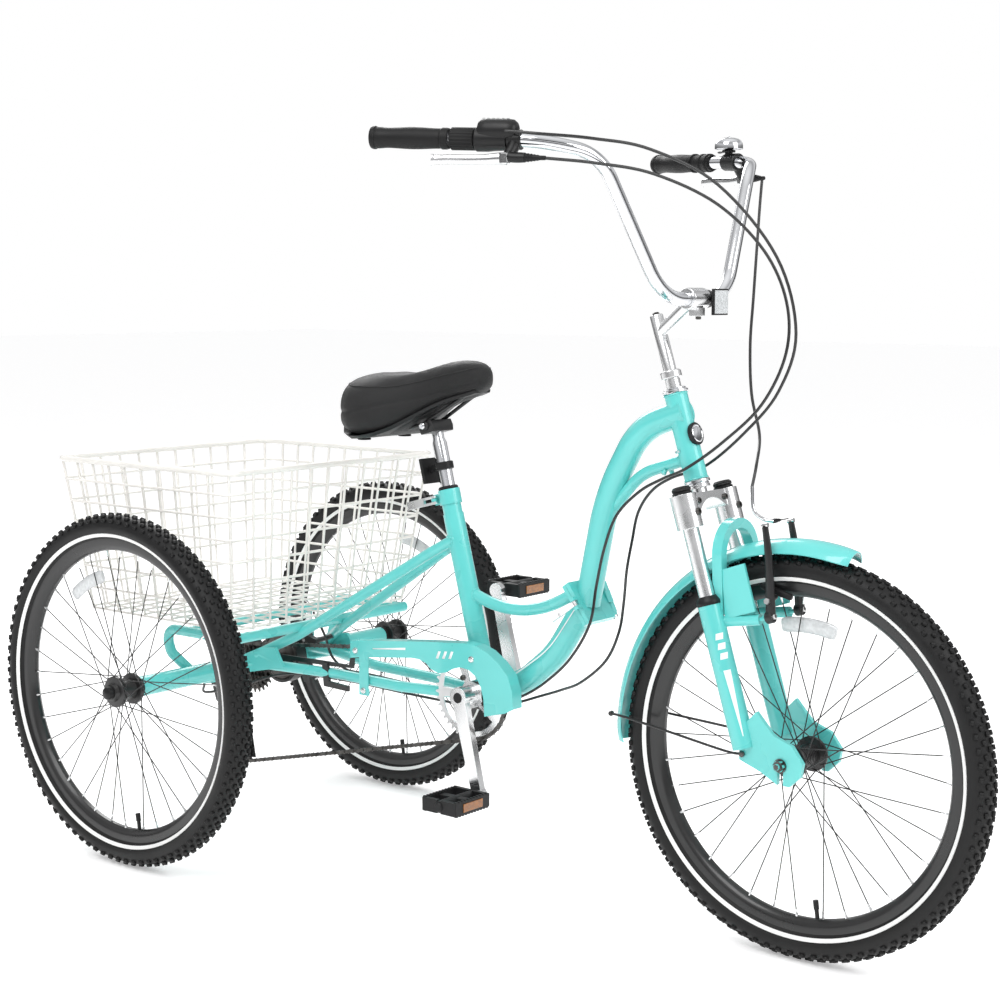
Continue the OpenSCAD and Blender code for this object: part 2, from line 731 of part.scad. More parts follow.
module lever_blade() {
  translate(lever_pivot) {
    difference() {
      union() {
        translate([0, 0, -8]) cylinder(h = 16, r = 9);
        rotate([0, 0, atan2(-grip_dir[1], -grip_dir[0])]) {
          translate([4, -6, -6]) cube([40, 11, 12]);
          translate([40, -6, -7]) rotate([0, 0, 4]) cube([112, 9, 14]);
        }
      }
      translate([0, 0, -9]) cylinder(h = 18, r = 3.05);
    }
  }
}
module lever_left() { color(silver) place() lever_blade(); }
module lever_right() { color(silver) place() mirror([0, 1, 0]) lever_blade(); }
module bell() {
  color(silver) place() difference() {
    union() {
      rod(at_grip(207), at_grip(223), 15);
      translate(at_grip(215, 0, 14)) cylinder(h = 12, r = 7);
      translate(at_grip(215, 0, 24)) cylinder(h = 15, r = 24);
      translate(at_grip(215, 0, 39)) cylinder(h = 4, r = 17);
    }
    rod(at_grip(200), at_grip(230), bar_d / 2 + 0.02);
    translate(at_grip(215, 0, 20)) difference() {
      cylinder(h = 16, r = 22);
      translate([0, 0, -1]) cylinder(h = 20, r = 7);
    }
  }
}
module bell_lever() {
  color(dark) place() difference() {
    translate(at_grip(215, 0, 17.5)) {
      cylinder(h = 4, r = 12);
      rotate([0, 0, 152]) translate([9, -4, 0]) cube([25, 8, 4]);
    }
    translate(at_grip(215, 0, 10)) cylinder(h = 20, r = 7.05);
  }
}
module bar_reflector() {
  color(dark) place() difference() {
    union() {
      along_y([clamp_mid[0], clamp_mid[2]], 27, 40, 15);
      translate(clamp_mid + [10, 28, -6]) cube([12, 11, 10]);
      translate(clamp_mid + [21, 18, -27]) cube([7, 44, 44]);
    }
    along_y([clamp_mid[0], clamp_mid[2]], 20, 50, bar_d / 2 + 0.02);
  }
}
// the gear cable: round the head tube, past the hinge, under the frame and back
module shift_cable() {
  color(black) place() cable(shift_route, 2.5, 3);
}
// the rear brake's cable, on the other side all the way
module rear_brake_cable() {
  color(black) place() cable(brake_route, 2.5, 3);
}

// ---- fork lowers ----
module fork_lowers() {
  color(teal) place() {
    difference() {
      union() {
        for (s = [-1, 1]) {
          rod(on_axis(leg_end_s, leg_off, s * leg_y), on_axis(lower_s, leg_off, s * leg_y), 19);
          across(s > 0 ? 58 : -66, s > 0 ? 66 : -58)
            polygon([[1180, 412], [1212, 378], [1246, 366], [1266, 340],
                [1262, 318], [1243, 300], [1231.3, 300], [1231.3, 332], [1220.7, 332],
                [1220.7, 300], [1190, 316], [1150, 330], [1150, 380]]);
          translate([1226, 0, 332]) across(s > 0 ? 58 : -66, s > 0 ? 66 : -58)
            difference() { circle(14); circle(5.3); translate([-5.3, -20]) square([10.6, 20]); }
        }
        arch();
        for (s = [-1, 1]) rod([1110, s * 52, 548], [1172.5, s * 46, 557.4], 9);
      }
      for (s = [-1, 1]) {
        rod(on_axis(lower_s - 135, leg_off, s * leg_y),
          on_axis(lower_s + 9, leg_off, s * leg_y), stanchion_d / 2 + 0.05);
        rod(on_axis(lower_s + 0.5, leg_off, s * leg_y),
          on_axis(lower_s + 70, leg_off, s * leg_y), stanchion_d / 2 + 0.8);
      }
    }
    for (s = [-1, 1]) rod([1171, s * 46, 557], [1172, s * 46, 557.3] + 12.2 * vb_n, 3.4);
    along_y([wheelbase, axle_z], -80, 80, 5);
    for (y = [-74, 66]) translate([wheelbase, y + 8, axle_z]) rotate([90, 0, 0])
      cylinder(h = 8, r = 9.5, $fn = 6);
    for (y = [-58, 48.4]) along_y([wheelbase, axle_z], y, y + 9.6, 9);
  }
}
// the brace that arches over the wheel from leg to leg
module arch() {
  translate([1099, 0, 585]) rotate([0, -2.7, 0]) rotate([90, 0, 90])
    translate([0, 0, -9]) linear_extrude(18) difference() {
      union() {
        translate([-58, -26]) square([116, 93]);
        translate([0, 67]) circle(58);
      }
      translate([-42, -27]) square([84, 94]);
      translate([0, 67]) circle(42);
    }
}
module front_fender() {
  color(teal) place() {
    translate(front_axle) rotate([90, 0, 0]) rotate([0, 0, 75])
      rotate_extrude(angle = 109, $fn = round_fn)
        polygon(concat([for (a = [-60:12:60]) [314 + 41 * cos(a), 38 * sin(a)]],
          [for (a = [60:-12:-60]) [312 + 41 * cos(a), 36.4 * sin(a)]]));
    for (s = [-1, 1])
      cable([[1156, s * 68.1, 334], [1120, s * 65, 338], [1000, s * 50, 350],
          [900, s * 38, 358], [874, s * 37.5, 359]], 2, 2);
  }
}
module front_brake_cable() {
  color(black) place() {
    cable([at_grip(284, 22, -28), [947, 300, 1225], [962, 268, 1150],
        [985, 222, 1065], [1012, 170, 985], [1050, 115, 905], [1100, 60, 842],
        [1134, -4, 800], [1140, -26, 766]], 2.5, 4);
    cable([[1140, -26, 765], [1146, -30, 730], [1162, -26, 716], [1171, -12, 712]], 3, 3);
    rod([1171, -11, 712], [1173, 33, 712], 2);
  }
}
// a brake arm on its pivot, pad inside; s is the side
vb_n = [sin(head_angle), 0, cos(head_angle)];
module vbrake(s) {
  p = [1184.5, s * 46, 561.2];
  difference() {
    union() {
      rod(p, p + 12 * vb_n, 9);
      rod(p + 6 * vb_n, [1168, s * 40.5, 706] + 6 * vb_n, 5.5);
      rod(p + 6 * vb_n + [-2, 0, 25], p + 6 * vb_n + [-2, -s * 20, 31], 4.5);
      translate([1166, s * 22 - 5, 588]) rotate([0, 14, 0]) cube([56, 10, 12]);
    }
    rod(p - vb_n, p + 14 * vb_n, 3.5);
  }
}
module vbrake_right() { color(black) place() vbrake(-1); }
module vbrake_left() { color(black) place() vbrake(1); }

// ---- drive ----
module toothed(n, h) {
  r = n * 12.7 / (2 * PI);
  da = 360 / n;
  linear_extrude(h) polygon([for (i = [0:n - 1])
    each [(r - 4) * [cos((i - 0.3) * da), sin((i - 0.3) * da)],
      (r + 3) * [cos((i - 0.1) * da), sin((i - 0.1) * da)],
      (r + 3) * [cos((i + 0.1) * da), sin((i + 0.1) * da)],
      (r - 4) * [cos((i + 0.3) * da), sin((i + 0.3) * da)]]]);
}
function crank_end(s) = bb + s * crank_len * [sin(crank_angle), 0, -cos(crank_angle)];
module crank_arm(s) {
  e = crank_end(s);
  a0 = s > 0 ? -87 : 73;
  translate([bb_x, 0, bb_height]) rotate([0, s > 0 ? 180 - crank_angle : -crank_angle, 0])
    across(a0, a0 + 14) {
      polygon([[-15, 0], [15, 0], [11, crank_len], [-11, crank_len]]);
      circle(19);
      translate([0, crank_len]) circle(14);
    }
  along_y([e[0], e[2]], s > 0 ? -187 : 80, s > 0 ? -80 : 187, 7);
}
module crank_right() {
  color(silver) place() {
    difference() {
      union() {
        crank_arm(1);
        along_y([bb_x, bb_height], -75, -46, 17);
        translate([bb_x, -chain_line + 1.25, bb_height]) rotate([90, 0, 0])
          rotate([0, 0, 75]) difference() {
            toothed(ring_teeth, 2.5);
            for (a = [0:72:288]) rotate([0, 0, a]) translate([0, 0, -1])
              linear_extrude(6) polygon([[24, -9], [24, 9], [58, 31], [66, 14],
                  [68, 0], [66, -14], [58, -31]]);
          }
      }
      along_y([bb_x, bb_height], -100, -40, 8.5);
    }
  }
}
module crank_left() {
  color(silver) place() {
    crank_arm(-1);
    along_y([bb_x, bb_height], 46, 75, 17);
    along_y([bb_x, bb_height], -84, 50, 8.5);
  }
}
module pedal(s) {
  e = crank_end(s);
  y0 = s > 0 ? -190 : 96;
  translate([e[0], 0, e[2]]) difference() {
    union() {
      translate([-39, y0, -14]) cube([78, 94, 28]);
    }
    for (x = [-29, 11]) for (y = [10, 52])
      translate([x, y0 + y, -20]) cube([18, 32, 40]);
    along_y([0, 0], y0 - 1, y0 + 95, 7.05);
  }
}
module pedal_right() { color(black) place() pedal(1); }
module pedal_left() { color(black) place() pedal(-1); }
module cassette() {
  color(dark) place() difference() {
    union() {
      for (i = [0:5]) translate([0, -chain_line - 15 + 5 * i + 1, axle_z])
        rotate([90, 0, 0]) rotate([0, 0, 90 / cog_teeth]) toothed(cogs[i], 2);
      along_y([0, axle_z], -66, -36, 22);
    }
    along_y([0, axle_z], -80, -20, 14.05);
  }
}
module derailleur() {
  color(dark) place() {
    for (c = [guide_c, tension_c]) {
      along_y(c, -chain_line - 1.2, -chain_line + 1.2, 15.5);
      along_y(c, -chain_line - 7, -chain_line + 7, 4);
    }
    for (y = [-57.5, -43]) across(y, y + 2.5)
      polygon([[-40, 258], [-16, 256], [6, 140], [-18, 138], [-32, 200]]);
    across(-72, -55) polygon([[-44, 262], [-30, 236], [-74, 250], [-84, 276], [-62, 290]]);
    difference() {
      across(-71.4, -60) polygon([[-90, 284], [-84, 276], [-62, 290], [-58, 298],
        [-66, 307], [-84, 307]]);
      along_y(hanger_c, -80, -50, 5.2);
    }
  }
}

// ---- seat ----
module seatpost() {
  color(silver) place() {
    rod(on_seat(150), on_seat(seat_tube_len + 92), post_d / 2);
    rod(on_seat(seat_tube_len + 92), on_seat(seat_tube_len + 124), 11);
    difference() {
      rod(on_seat(seat_tube_len + 38), on_seat(seat_tube_len + 52), 18);
      rod(on_seat(seat_tube_len + 30), on_seat(seat_tube_len + 60), post_d / 2);
    }
    translate(on_seat(seat_tube_len + 45)) rotate([0, -14.9, 0]) {
      translate([-32, -6, -6]) cube([16, 12, 12]);
      translate([-40, -24, -26]) cube([9, 48, 48]);
    }
  }
}
module saddle_rails() {
  color(black) place() {
    difference() {
      translate(on_seat(seat_tube_len + 114)) rotate([0, -14.9, 0])
        translate([-17, -30, -4]) cube([34, 60, 26]);
      rod(on_seat(seat_tube_len + 80), on_seat(seat_tube_len + 124), 11);
    }
    for (s = [-1, 1]) {
      pipe([[316, s * 34, 803], [346, s * 24, 808], [436, s * 22, 830],
          [528, s * 15, 888]], [0, 30, 60, 0], 3.5);
      translate([322, s * 56, 798]) cylinder(h = 15, r = 13);
      rod([322, s * 30, 806], [322, s * 56, 806], 4);
    }
  }
}
module saddle() {
  color(black) place() hull() {
    for (s = [-1, 1]) {
      translate([324, s * (saddle_w / 2 - 52), 866]) scale([1, 1, 0.94])
        sphere(50, $fn = 32);
      translate([364, s * (saddle_w / 2 - 60), 862]) scale([1, 1, 0.94])
        sphere(50, $fn = 32);
      translate([480, s * 16, 900]) scale([1, 1, 0.9]) sphere(30, $fn = 32);
    }
    translate([543, 0, 919]) scale([1.1, 1.1, 0.95]) sphere(31, $fn = 32);
  }
}
module seat_qr() {
  color(silver) place() at_collar() {
    translate([-24, -18, -8]) cylinder(h = 16, r = 2);
    for (z = [-7.5, 3.4]) translate([-24, -18, z]) cylinder(h = 4.1, r = 7);
    for (z = [-7.5, 3.4]) translate([-46, -23, z]) cube([20, 6, 4.1]);
    translate([-86, -25, -7.5]) cube([42, 6, 15]);
  }
}

seat_tube();
down_tube();
frame_brace();
chainstays();
seat_stays();
axle_tubes();
basket_support();
basket();
chain_guard();
guard_bracket();
hinge_rear();
band_brake();
chain();
main_tube();
head_tube();
headset();
hinge_front();
fold_lever();
fork_crown();
crown_caps();
stem();
handlebar();
grips();
lever_mounts();
bell();
bar_reflector();
shift_cable();
rear_brake_cable();
fork_lowers();
front_fender();
front_brake_cable();
front_tyre();
front_rim();
front_spokes();
front_hub();
vbrake_right();
vbrake_left();
lever_left();
lever_right();
twist_grip();
bell_lever();
crank_right();
crank_left();
pedal_right();
pedal_left();
cassette();
right_tyre();
right_rim();
right_spokes();
right_hub();
left_tyre();
left_rim();
left_spokes();
left_hub();
seatpost();
saddle();
saddle_rails();
seat_qr();
derailleur();
brake_arm();
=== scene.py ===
import json
import math
import random

import bmesh
import bpy
from mathutils import Matrix, Vector
from mathutils.bvhtree import BVHTree

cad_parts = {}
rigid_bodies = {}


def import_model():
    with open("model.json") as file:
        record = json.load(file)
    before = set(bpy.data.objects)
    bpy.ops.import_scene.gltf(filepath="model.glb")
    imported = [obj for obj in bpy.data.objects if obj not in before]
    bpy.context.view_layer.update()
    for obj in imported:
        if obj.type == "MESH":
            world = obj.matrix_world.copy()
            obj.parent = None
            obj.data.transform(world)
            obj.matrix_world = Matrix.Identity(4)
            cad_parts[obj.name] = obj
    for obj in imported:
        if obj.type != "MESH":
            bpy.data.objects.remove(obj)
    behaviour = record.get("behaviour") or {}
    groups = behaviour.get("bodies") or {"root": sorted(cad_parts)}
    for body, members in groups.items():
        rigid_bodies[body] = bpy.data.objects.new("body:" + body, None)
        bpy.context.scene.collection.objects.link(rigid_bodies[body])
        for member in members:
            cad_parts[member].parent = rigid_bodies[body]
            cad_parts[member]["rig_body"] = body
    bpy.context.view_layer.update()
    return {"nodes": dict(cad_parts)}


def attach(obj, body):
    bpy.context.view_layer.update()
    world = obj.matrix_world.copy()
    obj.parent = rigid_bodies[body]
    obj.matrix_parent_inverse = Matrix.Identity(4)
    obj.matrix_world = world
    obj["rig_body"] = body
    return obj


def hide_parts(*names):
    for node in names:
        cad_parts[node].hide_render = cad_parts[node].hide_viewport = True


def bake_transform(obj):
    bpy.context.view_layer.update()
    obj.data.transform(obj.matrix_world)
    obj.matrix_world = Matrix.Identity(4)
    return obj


bl_info = {
    "name": "Folding Tricycle Looks",
    "version": (1, 0, 0),
    "blender": (4, 5, 0),
    "location": "View3D > Sidebar > Tricycle",
    "description": "Dresses the packed tricycle with its finishes, tyres, basket, saddle and cables",
    "category": "Object",
}

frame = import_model()
WHEELBASE = 1226.0
TRACK = 736.0
AXLE_Z = 332.0


def mm(x, y, z):
    """A place in metres, from millimetres counted from the rear axle's plane."""
    return Vector(((x - WHEELBASE / 2) / 1000, y / 1000, z / 1000))


# ---------------------------------------------------------------- settings

class TrikeColours(bpy.types.PropertyGroup):
    """Colours that a user would change."""

    def colour(name, about, value):
        return bpy.props.FloatVectorProperty(name=name, description=about, default=value,
                                             subtype="COLOR", size=3, min=0, max=1)

    frame_paint: colour("Frame paint", "Gloss paint on the frame, fork legs and guard", (0.115, 0.59, 0.565))
    saddle_cover: colour("Saddle cover", "Soft cover of the saddle", (0.007, 0.007, 0.0075))
    basket_coat: colour("Basket coating", "Plastic coating on the basket's wire", (0.83, 0.81, 0.77))
    tyre_rubber: colour("Tyre rubber", "Tread and sidewall of the tyres", (0.006, 0.006, 0.0063))
    stripe: colour("Tyre stripe", "Reflective stripe on the tyres' sidewalls", (0.86, 0.86, 0.85))
    pedal_amber: colour("Pedal reflector", "Reflectors on the pedals' edges", (0.30, 0.10, 0.012))
    floor: colour("Floor", "Studio floor and backdrop", (0.93, 0.93, 0.93))


class TrikeSizes(bpy.types.PropertyGroup):
    """Sizes that a user would change."""

    knob_height: bpy.props.FloatProperty(
        name="Knob height", description="How far the tyre's knobs stand out of the casing",
        default=0.0042, min=0.001, max=0.008, unit="LENGTH")
    knobs_round: bpy.props.IntProperty(
        name="Knobs round", description="Knobs in one row round a tyre", default=92, min=40, max=140)
    wire: bpy.props.FloatProperty(
        name="Basket wire", description="Thickness of the basket's wire", default=0.0052,
        min=0.001, max=0.006, unit="LENGTH")
    basket_rows: bpy.props.IntProperty(
        name="Basket rows", description="Level wires down each side of the basket", default=7, min=3, max=14)
    basket_across: bpy.props.IntProperty(
        name="Wires across", description="Upright wires in the front and back of the basket",
        default=11, min=4, max=24)
    basket_along: bpy.props.IntProperty(
        name="Wires along", description="Upright wires in each side of the basket", default=10, min=4, max=24)
    cable: bpy.props.FloatProperty(
        name="Cable", description="Outside diameter of a cable's housing", default=0.005,
        min=0.003, max=0.008, unit="LENGTH")
    stitch: bpy.props.FloatProperty(
        name="Saddle swell", description="Most that the saddle's padding may swell", default=0.006,
        min=0.0, max=0.02, unit="LENGTH")


def colours():
    return bpy.context.scene.trike_colours


def sizes():
    return bpy.context.scene.trike_sizes


# ---------------------------------------------------------------- finishes

def node_in(tree, kind, **values):
    node = tree.nodes.new(kind)
    for key, value in values.items():
        setattr(node, key, value)
    return node


def new_group(name, ins, outs):
    """A shader node group with named sockets; gives it back with its two end nodes."""
    group = bpy.data.node_groups.new(name, "ShaderNodeTree")
    for label, kind, value in ins:
        socket = group.interface.new_socket(name=label, in_out="INPUT", socket_type=kind)
        if value is not None:
            socket.default_value = value
    for label, kind in outs:
        group.interface.new_socket(name=label, in_out="OUTPUT", socket_type=kind)
    return group, group.nodes.new("NodeGroupInput"), group.nodes.new("NodeGroupOutput")


def grain_group():
    """Fine bumps and the patchy shade that go with them."""
    group, ins, outs = new_group(
        "surface grain",
        [("Vector", "NodeSocketVector", None), ("Scale", "NodeSocketFloat", 400.0),
         ("Patch Scale", "NodeSocketFloat", 9.0)],
        [("Height", "NodeSocketFloat"), ("Patch", "NodeSocketFloat")])
    fine = node_in(group, "ShaderNodeTexNoise")
    fine.inputs["Detail"].default_value = 4
    broad = node_in(group, "ShaderNodeTexNoise")
    broad.inputs["Detail"].default_value = 3
    spread = node_in(group, "ShaderNodeMapRange")
    spread.inputs["From Min"].default_value = 0.35
    spread.inputs["From Max"].default_value = 0.65
    link = group.links.new
    link(ins.outputs["Vector"], fine.inputs["Vector"])
    link(ins.outputs["Scale"], fine.inputs["Scale"])
    link(ins.outputs["Vector"], broad.inputs["Vector"])
    link(ins.outputs["Patch Scale"], broad.inputs["Scale"])
    link(fine.outputs["Fac"], outs.inputs["Height"])
    link(broad.outputs["Fac"], spread.inputs["Value"])
    link(spread.outputs["Result"], outs.inputs["Patch"])
    return group


def leather_group():
    """Pebbled cells, for soft covers."""
    group, ins, outs = new_group(
        "pebble grain",
        [("Vector", "NodeSocketVector", None), ("Scale", "NodeSocketFloat", 700.0)],
        [("Height", "NodeSocketFloat")])
    cells = node_in(group, "ShaderNodeTexVoronoi", feature="DISTANCE_TO_EDGE")
    shape = node_in(group, "ShaderNodeMapRange")
    shape.inputs["From Max"].default_value = 0.16
    group.links.new(ins.outputs["Vector"], cells.inputs["Vector"])
    group.links.new(ins.outputs["Scale"], cells.inputs["Scale"])
    group.links.new(cells.outputs["Distance"], shape.inputs["Value"])
    group.links.new(shape.outputs["Result"], outs.inputs["Height"])
    return group


def dust_group():
    """A light film that gathers on the lowest parts, as a mask."""
    group, ins, outs = new_group(
        "road dust",
        [("Vector", "NodeSocketVector", None), ("Reach", "NodeSocketFloat", 0.5)],
        [("Mask", "NodeSocketFloat")])
    split = node_in(group, "ShaderNodeSeparateXYZ")
    low = node_in(group, "ShaderNodeMapRange")
    low.inputs["From Min"].default_value = 0.0
    low.inputs["To Min"].default_value = 1.0
    low.inputs["To Max"].default_value = 0.0
    cloud = node_in(group, "ShaderNodeTexNoise")
    cloud.inputs["Scale"].default_value = 14
    cloud.inputs["Detail"].default_value = 5
    both = node_in(group, "ShaderNodeMath", operation="MULTIPLY")
    link = group.links.new
    link(ins.outputs["Vector"], split.inputs["Vector"])
    link(split.outputs["Z"], low.inputs["Value"])
    link(ins.outputs["Reach"], low.inputs["From Max"])
    link(ins.outputs["Vector"], cloud.inputs["Vector"])
    link(low.outputs["Result"], both.inputs[0])
    link(cloud.outputs["Fac"], both.inputs[1])
    link(both.outputs["Value"], outs.inputs["Mask"])
    return group


GROUPS = {}


def effect(name):
    if not GROUPS:
        GROUPS.update(grain=grain_group(), pebble=leather_group(), dust=dust_group())
    return GROUPS[name]


def finish(name, colour, rough, metal=0.0, coat=0.0, grain=(500, 0.0004), shade=0.10,
           rough_spread=0.06, dust=0.0, pebble=None, sheen=0.0, patch=9.0, emit=0.0, ior=1.5):
    """A procedural finish: a base colour with patchy shade, uneven gloss, fine bumps and dust."""
    if name in bpy.data.materials:
        return bpy.data.materials[name]
    material = bpy.data.materials.new(name)
    material.use_nodes = True
    tree = material.node_tree
    link = tree.links.new
    surface = tree.nodes["Principled BSDF"]
    place = node_in(tree, "ShaderNodeTexCoord")
    speckle = node_in(tree, "ShaderNodeGroup", node_tree=effect("grain"))
    speckle.inputs["Scale"].default_value = grain[0]
    speckle.inputs["Patch Scale"].default_value = patch
    link(place.outputs["Object"], speckle.inputs["Vector"])
    tint = node_in(tree, "ShaderNodeMix", data_type="RGBA")
    tint.inputs["A"].default_value = (*[c * (1 - shade) for c in colour], 1)
    tint.inputs["B"].default_value = (*[min(1, c * (1 + shade * 0.6)) for c in colour], 1)
    link(speckle.outputs["Patch"], tint.inputs["Factor"])
    base = tint.outputs["Result"]
    if dust:
        film = node_in(tree, "ShaderNodeGroup", node_tree=effect("dust"))
        link(place.outputs["Object"], film.inputs["Vector"])
        amount = node_in(tree, "ShaderNodeMath", operation="MULTIPLY")
        amount.inputs[1].default_value = dust
        dusty = node_in(tree, "ShaderNodeMix", data_type="RGBA")
        dusty.inputs["B"].default_value = (0.32, 0.30, 0.27, 1)
        link(film.outputs["Mask"], amount.inputs[0])
        link(amount.outputs["Value"], dusty.inputs["Factor"])
        link(base, dusty.inputs["A"])
        base = dusty.outputs["Result"]
    link(base, surface.inputs["Base Color"])
    gloss = node_in(tree, "ShaderNodeMapRange")
    gloss.inputs["To Min"].default_value = max(0.02, rough - rough_spread)
    gloss.inputs["To Max"].default_value = min(1, rough + rough_spread)
    link(speckle.outputs["Patch"], gloss.inputs["Value"])
    link(gloss.outputs["Result"], surface.inputs["Roughness"])
    bump = node_in(tree, "ShaderNodeBump")
    bump.inputs["Distance"].default_value = grain[1]
    bump.inputs["Strength"].default_value = 0.5
    height = speckle.outputs["Height"]
    if pebble:
        cells = node_in(tree, "ShaderNodeGroup", node_tree=effect("pebble"))
        cells.inputs["Scale"].default_value = pebble
        link(place.outputs["Object"], cells.inputs["Vector"])
        height = cells.outputs["Height"]
    link(height, bump.inputs["Height"])
    link(bump.outputs["Normal"], surface.inputs["Normal"])
    surface.inputs["Metallic"].default_value = metal
    surface.inputs["IOR"].default_value = ior
    surface.inputs["Coat Weight"].default_value = coat
    surface.inputs["Coat Roughness"].default_value = 0.05
    if sheen:
        surface.inputs["Sheen Weight"].default_value = sheen
    if emit:
        surface.inputs["Emission Color"].default_value = (*colour, 1)
        surface.inputs["Emission Strength"].default_value = emit
    return material


def paint():
    return finish("turquoise paint", colours().frame_paint, 0.30, coat=0.7, grain=(260, 0.00012),
                  shade=0.05, dust=0.03)


def chrome():
    return finish("bright chrome", (0.74, 0.75, 0.77), 0.09, metal=1, grain=(900, 0.00004), shade=0.05,
                  rough_spread=0.04)


def alloy():
    return finish("polished alloy", (0.78, 0.785, 0.79), 0.24, metal=1, grain=(1200, 0.00006), shade=0.06,
                  rough_spread=0.07)


def black_metal():
    return finish("black metal", (0.009, 0.009, 0.0095), 0.36, metal=0.0, coat=0.15, grain=(900, 0.0001),
                  shade=0.25, dust=0.05)


def rim_black():
    return finish("rim black", (0.010, 0.010, 0.0105), 0.32, metal=0.0, coat=0.2, grain=(700, 0.00006), shade=0.18,
                  dust=0.02)


def plastic():
    return finish("black plastic", (0.009, 0.009, 0.0095), 0.42, grain=(1400, 0.0002), shade=0.15, ior=1.38)


def grip_rubber():
    return finish("grip rubber", (0.007, 0.007, 0.0073), 0.5, grain=(1800, 0.0003), shade=0.2, ior=1.34)


def tyre_rubber():
    return finish("tyre rubber", colours().tyre_rubber, 0.52, grain=(900, 0.0004), shade=0.3, dust=0.02,
                  patch=22, ior=1.38)


def stripe_white():
    return finish("reflective stripe", colours().stripe, 0.35, grain=(900, 0.0001), shade=0.04)


def basket_coat():
    return finish("white wire coating", colours().basket_coat, 0.34, coat=0.3, grain=(500, 0.0001), shade=0.05)


def saddle_cover():
    return finish("saddle cover", colours().saddle_cover, 0.52, pebble=820, grain=(900, 0.0005), shade=0.2,
                  sheen=0.06, ior=1.42)


def cable_skin():
    return finish("cable housing", (0.012, 0.012, 0.0125), 0.34, coat=0.2, grain=(900, 0.0001), shade=0.1)


def dark_steel():
    return finish("oiled steel", (0.11, 0.105, 0.10), 0.36, metal=0.9, grain=(700, 0.0002), shade=0.35, patch=60)


def decal():
    return finish("white print", (0.86, 0.88, 0.88), 0.34, coat=0.5, grain=(600, 0.00005), shade=0.02)


def amber():
    return finish("amber lens", colours().pedal_amber, 0.16, coat=0.8, grain=(240, 0.0012), shade=0.2, patch=160)


def clear_lens():
    return finish("clear lens", (0.62, 0.64, 0.65), 0.14, coat=0.9, grain=(260, 0.0012), shade=0.12, patch=160)


def red_lens():
    return finish("red lens", (0.36, 0.010, 0.008), 0.15, coat=0.8, grain=(260, 0.0012), shade=0.15, patch=160)


# ---------------------------------------------------------------- shapes

def curve_through(points, per=6):
    """A smooth line through the points (Catmull-Rom), as a list of Vectors."""
    pts = [Vector(p) for p in points]
    out = []
    for i in range(len(pts) - 1):
        a, b = pts[i], pts[i + 1]
        ma = (b - pts[i - 1]) / 2 if i else b - a
        mb = (pts[i + 2] - a) / 2 if i + 2 < len(pts) else b - a
        for k in range(per):
            t = k / per
            out.append((2 * t**3 - 3 * t**2 + 1) * a + (t**3 - 2 * t**2 + t) * ma
                       + (3 * t**2 - 2 * t**3) * b + (t**3 - t**2) * mb)
    return out + [pts[-1]]


def bent(points, radii, steps=8):
    """Straight runs with round bends: radii holds one bend radius in metres for each inner point."""
    pts = [Vector(p) for p in points]
    out = [pts[0]]
    for i in range(1, len(pts) - 1):
        u, v = (pts[i] - pts[i - 1]).normalized(), (pts[i + 1] - pts[i]).normalized()
        turn = u.angle(v)
        if turn < 1e-4:
            continue
        back = radii[i - 1] * math.tan(turn / 2)
        side = u.cross(v).normalized().cross(u)
        centre = pts[i] - u * back + side * radii[i - 1]
        for k in range(steps + 1):
            a = turn * k / steps
            out.append(centre - side * radii[i - 1] * math.cos(a) + u * radii[i - 1] * math.sin(a))
    return out + [pts[-1]]


def tube(path, radius, sides=16, closed=False, flat=1.0, across=None):
    """A tube along a path. radius is one number or one a point; flat squeezes it along `across`."""
    path = [Vector(p) for p in path]
    count = len(path)
    radii = radius if isinstance(radius, (list, tuple)) else [radius] * count
    heads = []
    for i in range(count):
        if closed:
            heads.append((path[(i + 1) % count] - path[i - 1]).normalized())
        else:
            heads.append((path[min(i + 1, count - 1)] - path[max(i - 1, 0)]).normalized())
    side = Vector(across) if across else heads[0].orthogonal()
    verts, faces = [], []
    for i, head in enumerate(heads):
        side = (side - head * side.dot(head)).normalized()
        up = head.cross(side)
        for k in range(sides):
            a = 2 * math.pi * k / sides
            verts.append(path[i] + side * radii[i] * flat * math.cos(a) + up * radii[i] * math.sin(a))
    for i in range(count if closed else count - 1):
        j = (i + 1) % count
        for k in range(sides):
            n = (k + 1) % sides
            faces.append((i * sides + k, i * sides + n, j * sides + n, j * sides + k))
    if not closed:
        faces.append(tuple(range(sides - 1, -1, -1)))
        faces.append(tuple((count - 1) * sides + k for k in range(sides)))
    return verts, faces


def axes_of(axis):
    w = Vector(axis).normalized()
    u = w.orthogonal().normalized()
    return u, w.cross(u), w


def lathe(profile, origin, axis, steps=48, ring=False):
    """A turned shape: profile is (radius, height) pairs along the axis; ring closes it on itself."""
    u, v, w = axes_of(axis)
    origin = Vector(origin)
    verts, faces, rows = [], [], []
    for r, h in profile:
        if r < 1e-7:
            rows.append([len(verts)])
            verts.append(origin + w * h)
            continue
        rows.append(list(range(len(verts), len(verts) + steps)))
        for k in range(steps):
            a = 2 * math.pi * k / steps
            verts.append(origin + w * h + (u * math.cos(a) + v * math.sin(a)) * r)
    pairs = list(zip(rows, rows[1:])) + ([(rows[-1], rows[0])] if ring else [])
    for a, b in pairs:
        for k in range(steps):
            n = (k + 1) % steps
            loop = [a[k % len(a)], a[n % len(a)], b[n % len(b)], b[k % len(b)]]
            face = tuple(dict.fromkeys(loop))
            if len(face) > 2:
                faces.append(face)
    if not ring:
        for row in (rows[0], rows[-1]):
            if len(row) > 1:
                faces.append(tuple(row))
    return verts, faces


